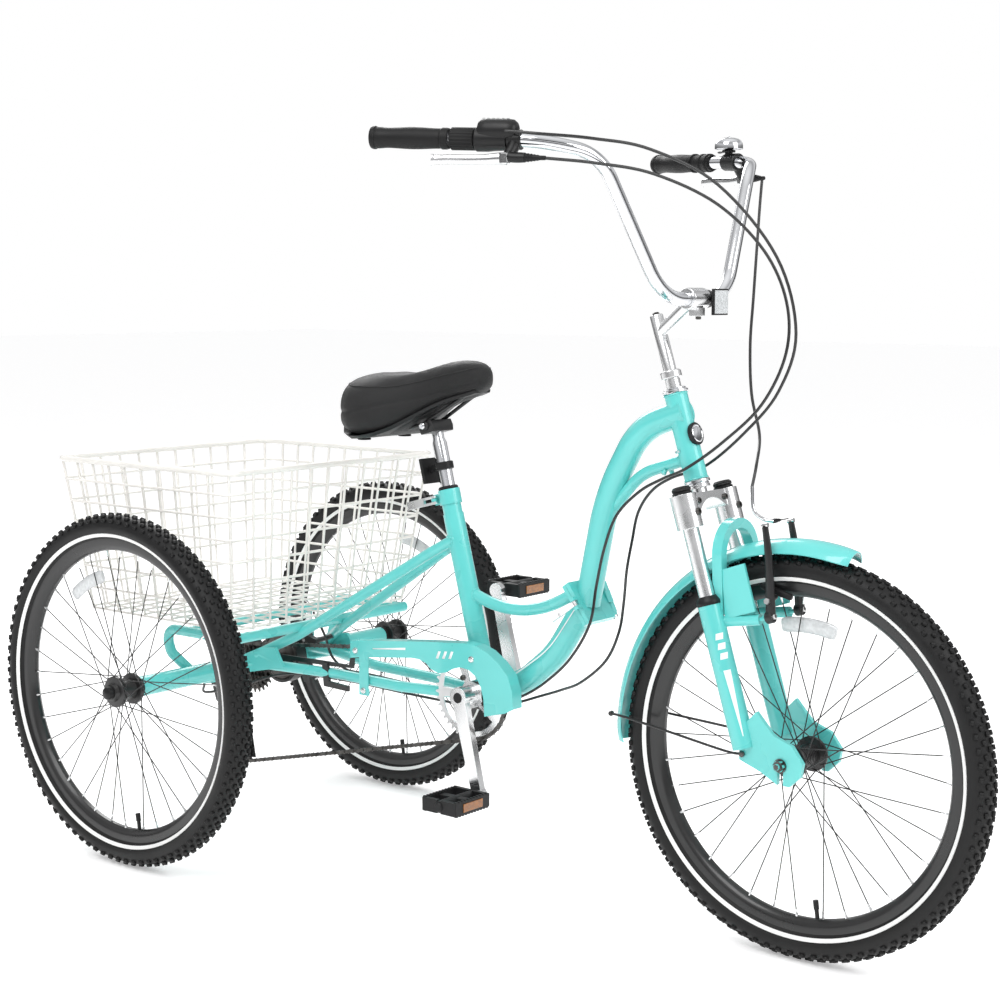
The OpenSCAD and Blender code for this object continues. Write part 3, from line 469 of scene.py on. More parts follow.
def slab(outline, thick, place, u, v):
    """An outline of (a, b) pairs on the axes u and v, given a thickness on both sides of place."""
    u, v, place = Vector(u), Vector(v), Vector(place)
    w = u.cross(v).normalized()
    n = len(outline)
    verts = [place + u * a + v * b + w * s * thick / 2 for s in (-1, 1) for a, b in outline]
    faces = [tuple(range(n - 1, -1, -1)), tuple(range(n, 2 * n))]
    faces += [(k, (k + 1) % n, n + (k + 1) % n, n + k) for k in range(n)]
    return verts, faces


def brick(centre, size, u=(1, 0, 0), v=(0, 1, 0)):
    a, b, c = size
    return slab([(-a / 2, -b / 2), (a / 2, -b / 2), (a / 2, b / 2), (-a / 2, b / 2)], c, centre, u, v)


def build(name, parts, sharp=35, merge=0.0):
    """One closed mesh object from (verts, faces) parts, with outward faces and crisp edges kept."""
    bm = bmesh.new()
    for verts, faces in parts:
        made = [bm.verts.new(v) for v in verts]
        for f in faces:
            try:
                bm.faces.new([made[i] for i in f])
            except ValueError:
                pass
    if merge:
        bmesh.ops.remove_doubles(bm, verts=bm.verts, dist=merge)
    bmesh.ops.recalc_face_normals(bm, faces=bm.faces)
    for e in bm.edges:
        e.smooth = e.calc_face_angle(0) < math.radians(sharp)
    mesh = bpy.data.meshes.new(name)
    bm.to_mesh(mesh)
    bm.free()
    mesh.polygons.foreach_set("use_smooth", [True] * len(mesh.polygons))
    piece = bpy.data.objects.new(name, mesh)
    bpy.context.scene.collection.objects.link(piece)
    return piece


def put(name, parts, material, body, stands_for=(), bevel=0.0, sharp=35, merge=0.0):
    """A finished piece that rides on a body."""
    piece = build(name, parts, sharp, merge)
    piece.data.materials.append(material)
    if bevel:
        edge = piece.modifiers.new("rounded edges", "BEVEL")
        edge.width = bevel
        edge.segments = 2
        edge.limit_method = "ANGLE"
        edge.angle_limit = math.radians(sharp)
        edge.harden_normals = True
    if body:
        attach(piece, body)
    for node in stands_for:
        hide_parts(node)
    return piece


def softened(node, material, bevel=0.0, merge=1e-5):
    """A CAD node's own shape, with its loose triangles joined and its edges rounded."""
    source = frame["nodes"][node]
    bm = bmesh.new()
    bm.from_mesh(source.data)
    bmesh.ops.remove_doubles(bm, verts=bm.verts, dist=merge)
    bmesh.ops.dissolve_limit(bm, angle_limit=math.radians(0.5), verts=bm.verts, edges=bm.edges)
    for e in bm.edges:
        e.smooth = e.calc_face_angle(0) < math.radians(35)
    mesh = bpy.data.meshes.new(node + "_shape")
    bm.to_mesh(mesh)
    bm.free()
    mesh.polygons.foreach_set("use_smooth", [True] * len(mesh.polygons))
    piece = bpy.data.objects.new(node + "_shape", mesh)
    bpy.context.scene.collection.objects.link(piece)
    piece.data.materials.clear()
    piece.data.materials.append(material)
    if bevel:
        edge = piece.modifiers.new("rounded edges", "BEVEL")
        edge.width = bevel
        edge.segments = 2
        edge.limit_method = "ANGLE"
        edge.angle_limit = math.radians(35)
        edge.harden_normals = True
    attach(piece, source["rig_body"])
    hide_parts(node)
    return piece


def dress(material, *nodes):
    """Gives CAD nodes that keep their own mesh a finish."""
    for node in nodes:
        target = frame["nodes"][node]
        target.data.materials.clear()
        target.data.materials.append(material)


def applied(piece):
    """The piece with its modifiers baked into a plain mesh."""
    graph = bpy.context.evaluated_depsgraph_get()
    mesh = bpy.data.meshes.new_from_object(piece.evaluated_get(graph))
    piece.modifiers.clear()
    piece.data = mesh
    return piece


# ---------------------------------------------------------------- geometry nodes

def stamp_tree(name, extra=()):
    """Instances of one shape on points that carry a turn; ends in Realize Instances and Set Material."""
    tree = bpy.data.node_groups.new(name, "GeometryNodeTree")
    face = tree.interface
    face.new_socket(name="Geometry", in_out="INPUT", socket_type="NodeSocketGeometry")
    face.new_socket(name="Shape", in_out="INPUT", socket_type="NodeSocketObject")
    face.new_socket(name="Finish", in_out="INPUT", socket_type="NodeSocketMaterial")
    face.new_socket(name="Size", in_out="INPUT", socket_type="NodeSocketFloat")
    face.new_socket(name="Geometry", in_out="OUTPUT", socket_type="NodeSocketGeometry")
    ins, outs = tree.nodes.new("NodeGroupInput"), tree.nodes.new("NodeGroupOutput")
    shape = tree.nodes.new("GeometryNodeObjectInfo")
    turn = tree.nodes.new("GeometryNodeInputNamedAttribute")
    turn.data_type = "FLOAT_VECTOR"
    turn.inputs["Name"].default_value = "turn"
    spin = tree.nodes.new("FunctionNodeEulerToRotation")
    copy = tree.nodes.new("GeometryNodeInstanceOnPoints")
    real = tree.nodes.new("GeometryNodeRealizeInstances")
    coat = tree.nodes.new("GeometryNodeSetMaterial")
    link = tree.links.new
    link(ins.outputs["Geometry"], copy.inputs["Points"])
    link(ins.outputs["Shape"], shape.inputs["Object"])
    link(shape.outputs["Geometry"], copy.inputs["Instance"])
    link(turn.outputs["Attribute"], spin.inputs["Euler"])
    link(spin.outputs["Rotation"], copy.inputs["Rotation"])
    link(ins.outputs["Size"], copy.inputs["Scale"])
    link(copy.outputs["Instances"], real.inputs["Geometry"])
    link(real.outputs["Geometry"], coat.inputs["Geometry"])
    link(ins.outputs["Finish"], coat.inputs["Material"])
    link(coat.outputs["Geometry"], outs.inputs["Geometry"])
    return tree


def wire_tree(name):
    """Round wire along the edges of a mesh, ending in Realize Instances and Set Material."""
    tree = bpy.data.node_groups.new(name, "GeometryNodeTree")
    face = tree.interface
    face.new_socket(name="Geometry", in_out="INPUT", socket_type="NodeSocketGeometry")
    face.new_socket(name="Thickness", in_out="INPUT", socket_type="NodeSocketFloat")
    face.new_socket(name="Sides", in_out="INPUT", socket_type="NodeSocketInt")
    face.new_socket(name="Finish", in_out="INPUT", socket_type="NodeSocketMaterial")
    face.new_socket(name="Geometry", in_out="OUTPUT", socket_type="NodeSocketGeometry")
    ins, outs = tree.nodes.new("NodeGroupInput"), tree.nodes.new("NodeGroupOutput")
    path = tree.nodes.new("GeometryNodeMeshToCurve")
    round_ = tree.nodes.new("GeometryNodeCurvePrimitiveCircle")
    half = tree.nodes.new("ShaderNodeMath")
    half.operation = "MULTIPLY"
    half.inputs[1].default_value = 0.5
    skin = tree.nodes.new("GeometryNodeCurveToMesh")
    skin.inputs["Fill Caps"].default_value = True
    soft = tree.nodes.new("GeometryNodeSetShadeSmooth")
    real = tree.nodes.new("GeometryNodeRealizeInstances")
    coat = tree.nodes.new("GeometryNodeSetMaterial")
    link = tree.links.new
    link(ins.outputs["Geometry"], path.inputs["Mesh"])
    link(ins.outputs["Thickness"], half.inputs[0])
    link(half.outputs["Value"], round_.inputs["Radius"])
    link(ins.outputs["Sides"], round_.inputs["Resolution"])
    link(path.outputs["Curve"], skin.inputs["Curve"])
    link(round_.outputs["Curve"], skin.inputs["Profile Curve"])
    link(skin.outputs["Mesh"], soft.inputs["Geometry"])
    link(soft.outputs["Geometry"], real.inputs["Geometry"])
    link(real.outputs["Geometry"], coat.inputs["Geometry"])
    link(ins.outputs["Finish"], coat.inputs["Material"])
    link(coat.outputs["Geometry"], outs.inputs["Geometry"])
    return tree


TREES = {}


def tree_of(kind):
    if kind not in TREES:
        TREES[kind] = {"stamp": stamp_tree, "wire": wire_tree}[kind]("repeat " + kind)
    return TREES[kind]


def run_tree(piece, kind, **values):
    tree = tree_of(kind)
    work = piece.modifiers.new("repeat", "NODES")
    work.node_group = tree
    for item in tree.interface.items_tree:
        if item.in_out == "INPUT" and item.name in values:
            work[item.identifier] = values[item.name]
    return applied(piece)


def stamped(name, shape, places, material, body, size=1.0, stands_for=()):
    """Copies of a small shape: places holds (position, rotation matrix) pairs."""
    mesh = bpy.data.meshes.new(name)
    mesh.from_pydata([tuple(p) for p, _ in places], [], [])
    turn = mesh.attributes.new("turn", "FLOAT_VECTOR", "POINT")
    for i, (_, m) in enumerate(places):
        turn.data[i].vector = m.to_euler("XYZ")
    piece = bpy.data.objects.new(name, mesh)
    bpy.context.scene.collection.objects.link(piece)
    run_tree(piece, "stamp", Shape=shape, Finish=material, Size=size)
    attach(piece, body)
    for node in stands_for:
        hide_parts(node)
    return piece


def pattern(name, parts, sharp=35):
    """A small shape for stamping; it is removed after use."""
    return build(name, parts, sharp)


def drop(piece):
    bpy.data.objects.remove(piece)


def frame_matrix(x_axis, y_axis):
    """A rotation whose columns are x, y and their cross product."""
    x = Vector(x_axis).normalized()
    z = x.cross(Vector(y_axis)).normalized()
    y = z.cross(x)
    return Matrix((x, y, z)).transposed()


# ---------------------------------------------------------------- wheels

def wheel_point(c, r, angle, y=0.0):
    """A place on a wheel: r and y in mm, angle from forward and up, in degrees."""
    a = math.radians(angle)
    return c + Vector((r * math.cos(a), y, r * math.sin(a))) / 1000


def scaled(profile):
    return [(r / 1000, h / 1000) for r, h in profile]


def knob():
    """One tread block, its base at the origin and its height along Z."""
    a, b, h = 0.0046, 0.0036, sizes().knob_height
    low = [(-a, -b), (a, -b), (a, b), (-a, b)]
    verts = [(x, y, -0.0015) for x, y in low] + [(x * 0.78, y * 0.78, h) for x, y in low]
    faces = [(3, 2, 1, 0), (4, 5, 6, 7)] + [(k, (k + 1) % 4, 4 + (k + 1) % 4, 4 + k) for k in range(4)]
    return pattern("knob_shape", [(verts, faces)], 20)


def make_tyre(name, c, body):
    lift = 22 - sizes().knob_height * 1000
    side = [(306 + (lift + 4) * math.cos(math.radians(a)), 25.6 * math.sin(math.radians(a)))
            for a in range(-144, 145, 9)]
    casing = lathe(scaled([(283, -12.6), (283, 12.6)] + side[::-1]), c, (0, 1, 0), 144, ring=True)
    put(name + "_casing", [casing], tyre_rubber(), body, [name + "_tyre"])
    shape = knob()
    count, places = sizes().knobs_round, []
    for row, (tilt, skew) in enumerate([(-56, 12), (-30, -14), (-8, 8), (12, -8), (32, 14), (56, -12)]):
        for k in range(count):
            around = 360 * (k + 0.5 * (row % 2)) / count
            t = math.radians(tilt)
            r, y = 306 + (lift + 4) * math.cos(t), 25.6 * math.sin(t)
            out = Vector((math.cos(math.radians(around)) * math.cos(t), math.sin(t),
                          math.sin(math.radians(around)) * math.cos(t)))
            run = Vector((-math.sin(math.radians(around)), math.radians(skew), math.cos(math.radians(around))))
            side_on = out.cross(run).normalized()
            turn = Matrix((side_on.cross(out), side_on, out)).transposed()
            places.append((wheel_point(c, r, around, y), turn))
    stamped(name + "_tread", shape, places, tyre_rubber(), body, stands_for=[name + "_tyre"])
    drop(shape)
    bands = []
    for s in (-1, 1):
        ring = [(306 + 26.4 * math.cos(math.radians(a)), s * 25.9 * math.sin(math.radians(a))) for a in (116, 121, 126, 131)]
        inner = [(r + 1, h - s * 1.2) for r, h in ring[::-1]]
        bands.append(lathe(scaled(ring + inner), c, (0, 1, 0), 144, ring=True))
    put(name + "_stripe", bands, stripe_white(), body, [name + "_tyre"])


def make_rim(name, c, body):
    section = [(286, -13.4), (288, -12.2), (288, -10.5), (281, -10), (281, 10), (288, 10.5), (288, 12.2),
               (286, 13.4), (274, 13.2), (268, 11), (264.5, 7), (262.2, 3.5), (262, 0), (262.2, -3.5),
               (264.5, -7), (268, -11), (274, -13.2)]
    put(name + "_rim_ring", [lathe(scaled(section), c, (0, 1, 0), 144, ring=True)], rim_black(), body,
        [name + "_rim"], sharp=30)
    valve = [tube([wheel_point(c, 270, -82), wheel_point(c, 246, -82)], 0.0036, 12),
             tube([wheel_point(c, 246.5, -82), wheel_point(c, 232, -82)], 0.0046, 14)]
    put(name + "_valve", valve, plastic(), body)


def spoke_lines(c, flange_y, flange_r):
    out = []
    for i in range(36):
        s, k = (1 if i % 2 == 0 else -1), (1 if (i // 2) % 2 == 0 else -1)
        a = i * 10
        out.append((wheel_point(c, flange_r, a + k * 62, s * (flange_y + k * 2)),
                    wheel_point(c, 262.5, a, s * 2.2)))
    return out


def make_spokes(name, c, body, flange_y):
    lines = spoke_lines(c, flange_y, 24)
    mesh = bpy.data.meshes.new(name + "_spoke_set")
    mesh.from_pydata([tuple(p) for ab in lines for p in ab], [(2 * i, 2 * i + 1) for i in range(len(lines))], [])
    piece = bpy.data.objects.new(name + "_spoke_set", mesh)
    bpy.context.scene.collection.objects.link(piece)
    run_tree(piece, "wire", Thickness=0.002, Sides=8, Finish=black_metal())
    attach(piece, body)
    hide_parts(name + "_spokes")
    shape = pattern("nipple_shape", [lathe(scaled([(0, -1), (2.3, -1), (2.3, 4), (1.7, 5), (1.7, 12), (0, 12.4)]),
                                           (0, 0, 0), (0, 0, 1), 8)])
    places = []
    for a, b in lines:
        inward = (a - b).normalized()
        places.append((b, frame_matrix(inward.orthogonal(), inward.cross(inward.orthogonal())) if False
                       else inward.to_track_quat("Z", "Y").to_matrix()))
    stamped(name + "_nipples", shape, places, alloy(), body)
    drop(shape)


def make_hub(name, c, body, kind):
    y = Vector((0, 1, 0))
    if kind == "front":
        prof = [(0, -48), (8, -48), (11, -46), (11, -38), (20, -37.5), (28, -37), (29, -35.5), (29, -32), (28, -31), (19, -29)]
        for k in range(11):
            prof += [(15.2, -27 + k * 5), (18.4, -26 + k * 5), (18.4, -23.6 + k * 5), (15.2, -22.6 + k * 5)]
        prof += [(19, 29), (28, 31), (29, 32), (29, 35.5), (28, 37), (20, 37.5), (11, 38), (11, 46), (8, 48), (0, 48)]
        put(name + "_hub_shell", [lathe(scaled(prof), c, y, 48)], black_metal(), body,
            [name + "_hub"], sharp=25)
        return
    s = -1 if name == "right" else 1
    prof = [(9, -31), (15, -31), (16, -29.5), (17, -25), (28, -24), (29, -23), (29, -17), (28, -16), (20, -15),
            (18.6, -8), (18.6, 8), (20, 15), (28, 16), (29, 17), (29, 23), (28, 24), (18, 25), (16.5, 28),
            (15, 31), (10, 33), (0, 33.5)]
    put(name + "_hub_shell", [lathe(scaled([(0, -31)] + prof), c, y * s, 48)], black_metal(), body,
        [name + "_hub"], sharp=25)
    cap = lathe(scaled([(0, 32), (11.5, 32), (12.5, 33), (12.5, 39), (11, 42), (6, 44.5), (0, 45)]), c, y * s, 32)
    put(name + "_hub_cap", [cap], plastic(), body)
    if name == "right":
        shaft = [lathe(scaled([(0, 0), (8.5, 0), (8.5, 388), (0, 388)]), mm(0, -338, AXLE_Z), (0, 1, 0), 32),
                 lathe(scaled([(0, 0), (14, 0), (14, 44), (0, 44)]), mm(0, -74, AXLE_Z), (0, 1, 0), 40)]
        put("rear_shaft", shaft, dark_steel(), body, ["right_hub"])
        put("brake_drum", [lathe(scaled([(0, 0), (44, 0), (45, 1), (45, 21.5), (44, 22.5), (0, 22.5)]),
                                 mm(0, 34.5, AXLE_Z), (0, 1, 0), 72)], dark_steel(), body)


def make_spoke_reflector(name, c, body, angle):
    arc = [math.radians(angle + a) for a in range(-13, 14, 2)]
    ring = [c + Vector((0.216 * math.cos(a), 0.002, 0.216 * math.sin(a))) for a in arc]
    put(name + "_spoke_reflector", [tube(ring, [0.010] + [0.0125] * (len(ring) - 2) + [0.010], 16, flat=0.34,
                                         across=(0, 1, 0))], clear_lens(), body)


def make_wheels():
    for name, c, flange in (("front", mm(WHEELBASE, 0, AXLE_Z), 32), ("right", mm(0, -TRACK / 2, AXLE_Z), 20),
                            ("left", mm(0, TRACK / 2, AXLE_Z), 20)):
        body = name + "_wheel"
        make_tyre(name, c, body)
        make_rim(name, c, body)
        make_spokes(name, c, body, flange)
        make_hub(name, c, body, name)
    make_spoke_reflector("front", mm(WHEELBASE, 0, AXLE_Z), "front_wheel", 88)
    make_spoke_reflector("right", mm(0, -TRACK / 2, AXLE_Z), "right_wheel", 118)
    make_spoke_reflector("left", mm(0, TRACK / 2, AXLE_Z), "left_wheel", 70)


# ---------------------------------------------------------------- frame

HEAD = Vector((-math.cos(math.radians(72.5)), 0, math.sin(math.radians(72.5))))
AHEAD = Vector((math.sin(math.radians(72.5)), 0, math.cos(math.radians(72.5))))
SEAT = (mm(480, 0, 711) - mm(575.5, 0, 351)).normalized()


def on_axis(s, fwd=0.0, y=0.0):
    """A place on the steering axis, s above the foot of the head tube."""
    return mm(1018, y, 766.5) + (HEAD * s + AHEAD * fwd) / 1000


def on_seat(s):
    return mm(575.5, 0, 351) + SEAT * s / 1000


SEAT_LEN = (mm(480, 0, 711) - mm(575.5, 0, 351)).length * 1000


def weld(start, along, r, on, axis, big, name_width=0.0022):
    """A rippled bead where a round tube meets a bigger one."""
    u, w = Vector(along).normalized(), Vector(axis).normalized()
    e1 = u.orthogonal().normalized()
    e2 = u.cross(e1)
    path, radii = [], []
    count = 72
    for k in range(count):
        a = 2 * math.pi * k / count
        p = Vector(start) + (e1 * math.cos(a) + e2 * math.sin(a)) * r - Vector(on)
        pp, uu = p - w * p.dot(w), u - w * u.dot(w)
        qa, qb, qc = uu.dot(uu), 2 * pp.dot(uu), pp.dot(pp) - big * big
        root = qb * qb - 4 * qa * qc
        if root < 0:
            return None
        t = (-qb - math.sqrt(root)) / (2 * qa)
        path.append(p + Vector(on) + u * t)
        radii.append(name_width * (1 + 0.18 * math.sin(k * 2 * math.pi * 18 / count)))
    return tube(path, radii, 8, closed=True)


def make_frame():
    for node in ("seat_tube", "down_tube", "frame_brace", "chainstays", "seat_stays", "axle_tubes",
                 "basket_support", "main_tube", "head_tube"):
        softened(node, paint())
    for node in ("hinge_rear", "hinge_front"):
        softened(node, paint(), bevel=0.0011)
    softened("fold_lever", alloy(), bevel=0.0012)
    bb = mm(575.5, 0, 351)
    y = (0, 1, 0)
    beads = [weld(on_seat(70), -SEAT, 0.019, bb, y, 0.024),
             weld(mm(720, 0, 425), bb + Vector((0.022, 0, 0.0065)) - mm(690, 0, 398), 0.0224, bb, y, 0.024)]
    for s in (-1, 1):
        beads.append(weld(mm(456, s * 21, 596), mm(500, s * 10, 622) - mm(456, s * 21, 596), 0.010,
                          on_seat(200), SEAT, 0.019))
        beads.append(weld(mm(486, s * 31, 342), mm(575, s * 27, 345) - mm(486, s * 31, 342), 0.010, bb, y, 0.024))
        beads.append(weld(mm(60, s * 96, 347.5), mm(16, s * 100, 346) - mm(60, s * 94, 347.5), 0.010,
                          mm(0, 0, AXLE_Z), y, 0.019))
    beads.append(weld(mm(600, 0, 506), mm(524, 0, 530) - mm(600, 0, 506), 0.011, on_seat(200), SEAT, 0.019))
    put("rear_weld_beads", [b for b in beads if b], paint(), "rear_frame")
    front = [weld(mm(930, 0, 777), mm(1003, 0, 801) - mm(908, 0, 770), 0.010, on_axis(40), HEAD, 0.0195)]
    front += [tube([on_axis(h, 19.5 * math.cos(a), 19.5 * math.sin(a)) for a in
                    [2 * math.pi * k / 48 for k in range(48)]], 0.0016, 8, closed=True) for h in (1.5, 145.5)]
    put("front_weld_beads", [b for b in front if b], paint(), "front_frame")
    ends = [lathe(scaled([(0, 0), (19.4, 0), (20.4, 1.2), (20.4, 9), (19, 10.5), (9, 10.5), (0, 10.5)]),
                  mm(0, s * 334, AXLE_Z), (0, s, 0), 40) for s in (-1, 1)]
    put("axle_tube_caps", [e for e in ends], plastic(), "rear_frame")
    cups = [lathe(scaled([(8.6, 0), (21, 0), (22.5, 1), (22.5, 4), (21, 5), (8.6, 5)]),
                  mm(575.5, s * 36.5, 351), (0, s, 0), 48, ring=True) for s in (-1, 1)]
    put("bottom_bracket_cups", cups, black_metal(), "rear_frame")
    band = [tube([p + Vector((0, -0.0001, 0)) for p in
                  bent([mm(650, -22.6, 391), mm(731, -22.6, 449), mm(790, -22.6, 532)], [0.2])], 0.0011, 8,
                 flat=0.5, across=(0, 1, 0))]
    put("frame_pinstripe", band, decal(), "rear_frame")
    stops = []
    for p in (mm(961, 0, 752), mm(918, 0, 728)):
        stops.append(lathe(scaled([(2.8, -6), (5, -6), (5, 6), (2.8, 6)]), p, (0.8, 0, 0.6), 16, ring=True))
    put("cable_clips_front", [tube([on_axis(52, 21.5 * math.cos(a) - 1, 21.5 * math.sin(a)) for a in
                                    [math.radians(d) for d in range(100, 261, 10)]], 0.0022, 8)], chrome(),
        "front_frame")
    clips = []
    for x, z in ((236, 331), (400, 326), (150, 334)):
        for s in (-1, 1):
            clips.append(tube([mm(x, s * 36 + 5.2 * math.cos(a), z + 5.2 * math.sin(a)) for a in
                               [2 * math.pi * k / 20 for k in range(20)]], 0.0012, 8, closed=True))
    put("cable_clips_rear", clips, chrome(), "rear_frame")


def make_head():
    rings = []
    for base, sign in ((0, -1), (147, 1)):
        for r0, a, b in ((22, 0.4, 5.6), (19, 5.4, 9.2)):
            rings.append(lathe(scaled([(12.8, a), (r0 - 1, a), (r0, a + 1), (r0, b - 1), (r0 - 1, b), (12.8, b)]),
                               on_axis(base), HEAD * sign, 64, ring=True))
    put("headset_cups", rings, chrome(), "front_frame", ["headset"])
    disc = lathe(scaled([(0, -4), (18, -4), (19, 0), (19, 2.2), (17.5, 3), (0, 3.4)]), on_axis(74, 20), AHEAD, 48)
    put("head_badge_back", [disc], plastic(), "front_frame")
    face = lathe(scaled([(0, 2), (14.5, 2.6), (15, 3.6), (13.6, 4.4), (12.4, 3.8), (9, 4.6), (0, 5.2)]),
                 on_axis(74, 20), AHEAD, 48)
    put("head_badge", [face], chrome(), "front_frame")


def make_hinge_extras():
    pin = Vector((math.cos(math.radians(116)), 0, math.sin(math.radians(116))))
    heads = [lathe(scaled([(0, 33), (7, 33), (8.4, 34), (8.4, 38), (6, 40.5), (0, 41.5)]), mm(797, 58, 538), pin * s, 32)
             for s in (-1, 1)]
    put("hinge_pin_heads", heads, chrome(), "rear_frame")


# ---------------------------------------------------------------- steering

GRIP_END = (664.5, 395.5, 1313.0)
GRIP = (mm(926, 301, 1303.5) - mm(*GRIP_END)).normalized()


def at_grip(t, out=0.0, up=0.0, side=1):
    """A place along the grip, t from its end, out ahead of it and up."""
    p = mm(*GRIP_END) + GRIP * t / 1000 + Vector((0.34, 0.94, 0)) * out / 1000 + Vector((0, 0, up / 1000))
    return Vector((p.x, p.y * side, p.z))


def grip_axis(side):
    return Vector((GRIP.x, GRIP.y * side, GRIP.z))


def fluted(origin, axis, r, depth, count, h0, h1):
    """A ribbed sleeve with round ends."""
    u, v, w = axes_of(axis)
    steps = count * 4
    rows = [(h0, 0.86, 0), (h0 + 0.002, 1, 0), (h0 + 0.004, 1, 1), (h1 - 0.004, 1, 1), (h1 - 0.002, 1, 0), (h1, 0.86, 0)]
    verts, faces = [], []
    for h, share, wave in rows:
        for k in range(steps):
            a = 2 * math.pi * k / steps
            rr = r * share - (depth * wave if k % 4 in (0, 1) else 0)
            verts.append(Vector(origin) + w * h + (u * math.cos(a) + v * math.sin(a)) * rr)
    for i in range(len(rows) - 1):
        for k in range(steps):
            n = (k + 1) % steps
            faces.append((i * steps + k, i * steps + n, (i + 1) * steps + n, (i + 1) * steps + k))
    faces.append(tuple(range(steps)))
    faces.append(tuple((len(rows) - 1) * steps + k for k in range(steps)))
    return verts, faces


def make_bar():
    half = [(1008, 94, 1063.5), (974, 218, 1284), (926, 301, 1303.5), GRIP_END]
    path = [mm(x, -y, z) for x, y, z in half[::-1]] + [mm(*p) for p in half]
    put("bar_tube", [tube(bent(path, [0.15, 0.09, 0.09, 0.09, 0.09, 0.15], 16), 0.0111, 32)], chrome(),
        "steerer", ["handlebar"])
    q = on_axis(173)
    clamp = mm(1008, 0, 1063.5)
    quill = [lathe(scaled([(0, 0), (11.1, 0), (11.1, 108), (10, 109.6), (0, 110)]), q, HEAD, 40),
             lathe(scaled([(0, 0), (17, 0), (18, 1), (18, 11), (16.5, 13), (12, 14), (0, 14)]), q, HEAD, 40),
             tube([q + HEAD * 0.080, clamp], [0.0106, 0.0122], 28)]
    barrel = lathe(scaled([(11.2, -24), (16.4, -24), (18, -22.5), (18, 22.5), (16.4, 24), (11.2, 24)]), clamp, (0, 1, 0), 48, ring=True)
    put("stem_body", quill + [barrel, brick(clamp + Vector((0.005, 0, -0.021)), (0.02, 0.018, 0.014))], alloy(),
        "steerer", ["stem"], bevel=0.001)
    bolts = [lathe(scaled([(0, 0), (4.6, 0), (4.6, 4), (3.4, 5), (2.4, 5), (2.2, 2.5), (0, 2.5)]),
                   clamp + Vector((0.008, 0, -0.0285)), (0, 0, -1), 20),
             lathe(scaled([(0, 0), (6, 0), (6, 3), (4.6, 4.4), (2.6, 4.4), (2.4, 2), (0, 2)]), q + HEAD * 0.1095, HEAD, 6)]
    put("stem_bolts", bolts, dark_steel(), "steerer")
    hold = [lathe(scaled([(11.3, -6.5), (14.2, -6.5), (15, -5.5), (15, 5.5), (14.2, 6.5), (11.3, 6.5)]),
                  clamp + Vector((0, 0.0335, 0)), (0, 1, 0), 32, ring=True),
            brick(clamp + Vector((0.017, 0.0335, 0)), (0.014, 0.010, 0.009)),
            brick(clamp + Vector((0.0235, 0.040, -0.005)), (0.005, 0.043, 0.043))]
    put("bar_reflector_case", hold, plastic(), "steerer", ["bar_reflector"], bevel=0.0012)
    put("bar_reflector_lens", [brick(clamp + Vector((0.0265, 0.040, -0.005)), (0.0022, 0.038, 0.038))],
        clear_lens(), "steerer", bevel=0.0009)


def make_grips():
    for s, word in ((-1, "right"), (1, "left")):
        w = grip_axis(s)
        long_end = 126 if s < 0 else 168
        prof = [(0, -4), (14, -4), (17, -3), (18, 0), (18, 3), (16.2, 5)]
        for t in range(8, 111, 6):
            prof.append((15.6 + 1.5 * math.sin(math.pi * max(0, t - 20) / 92) ** 2 + 1.2 * math.exp(-((t - 8) / 9) ** 2), t))
        if s > 0:
            prof += [(15.4, 111), (15, 113), (17.4, 113.6), (17.4, 117.5), (15, 118), (14.6, 138), (16.8, 139), (16.8, 144),
                     (15.4, 145), (15.4, 155), (16.8, 156), (16.8, 161), (15, 162), (14.4, long_end), (0, long_end)]
        else:
            prof += [(15, 113), (16.8, 115), (16.8, 122), (15.6, long_end), (0, long_end)]
        put("grip_" + word, [lathe(scaled(prof), at_grip(0, side=s), w, 40)], grip_rubber(), "steerer",
            ["grips"], sharp=40)
        ends = lathe(scaled([(0, -6), (8, -6), (11, -5), (12, -3.5), (0, -3)]), at_grip(0, side=s), w, 28)
        put("bar_plug_" + word, [ends], plastic(), "steerer")
    sleeve = [fluted(at_grip(129.4, side=-1), grip_axis(-1), 0.0176, 0.0011, 22, 0, 0.0412)]
    put("twist_sleeve", sleeve, grip_rubber(), "twist_grip", ["twist_grip"], sharp=30)


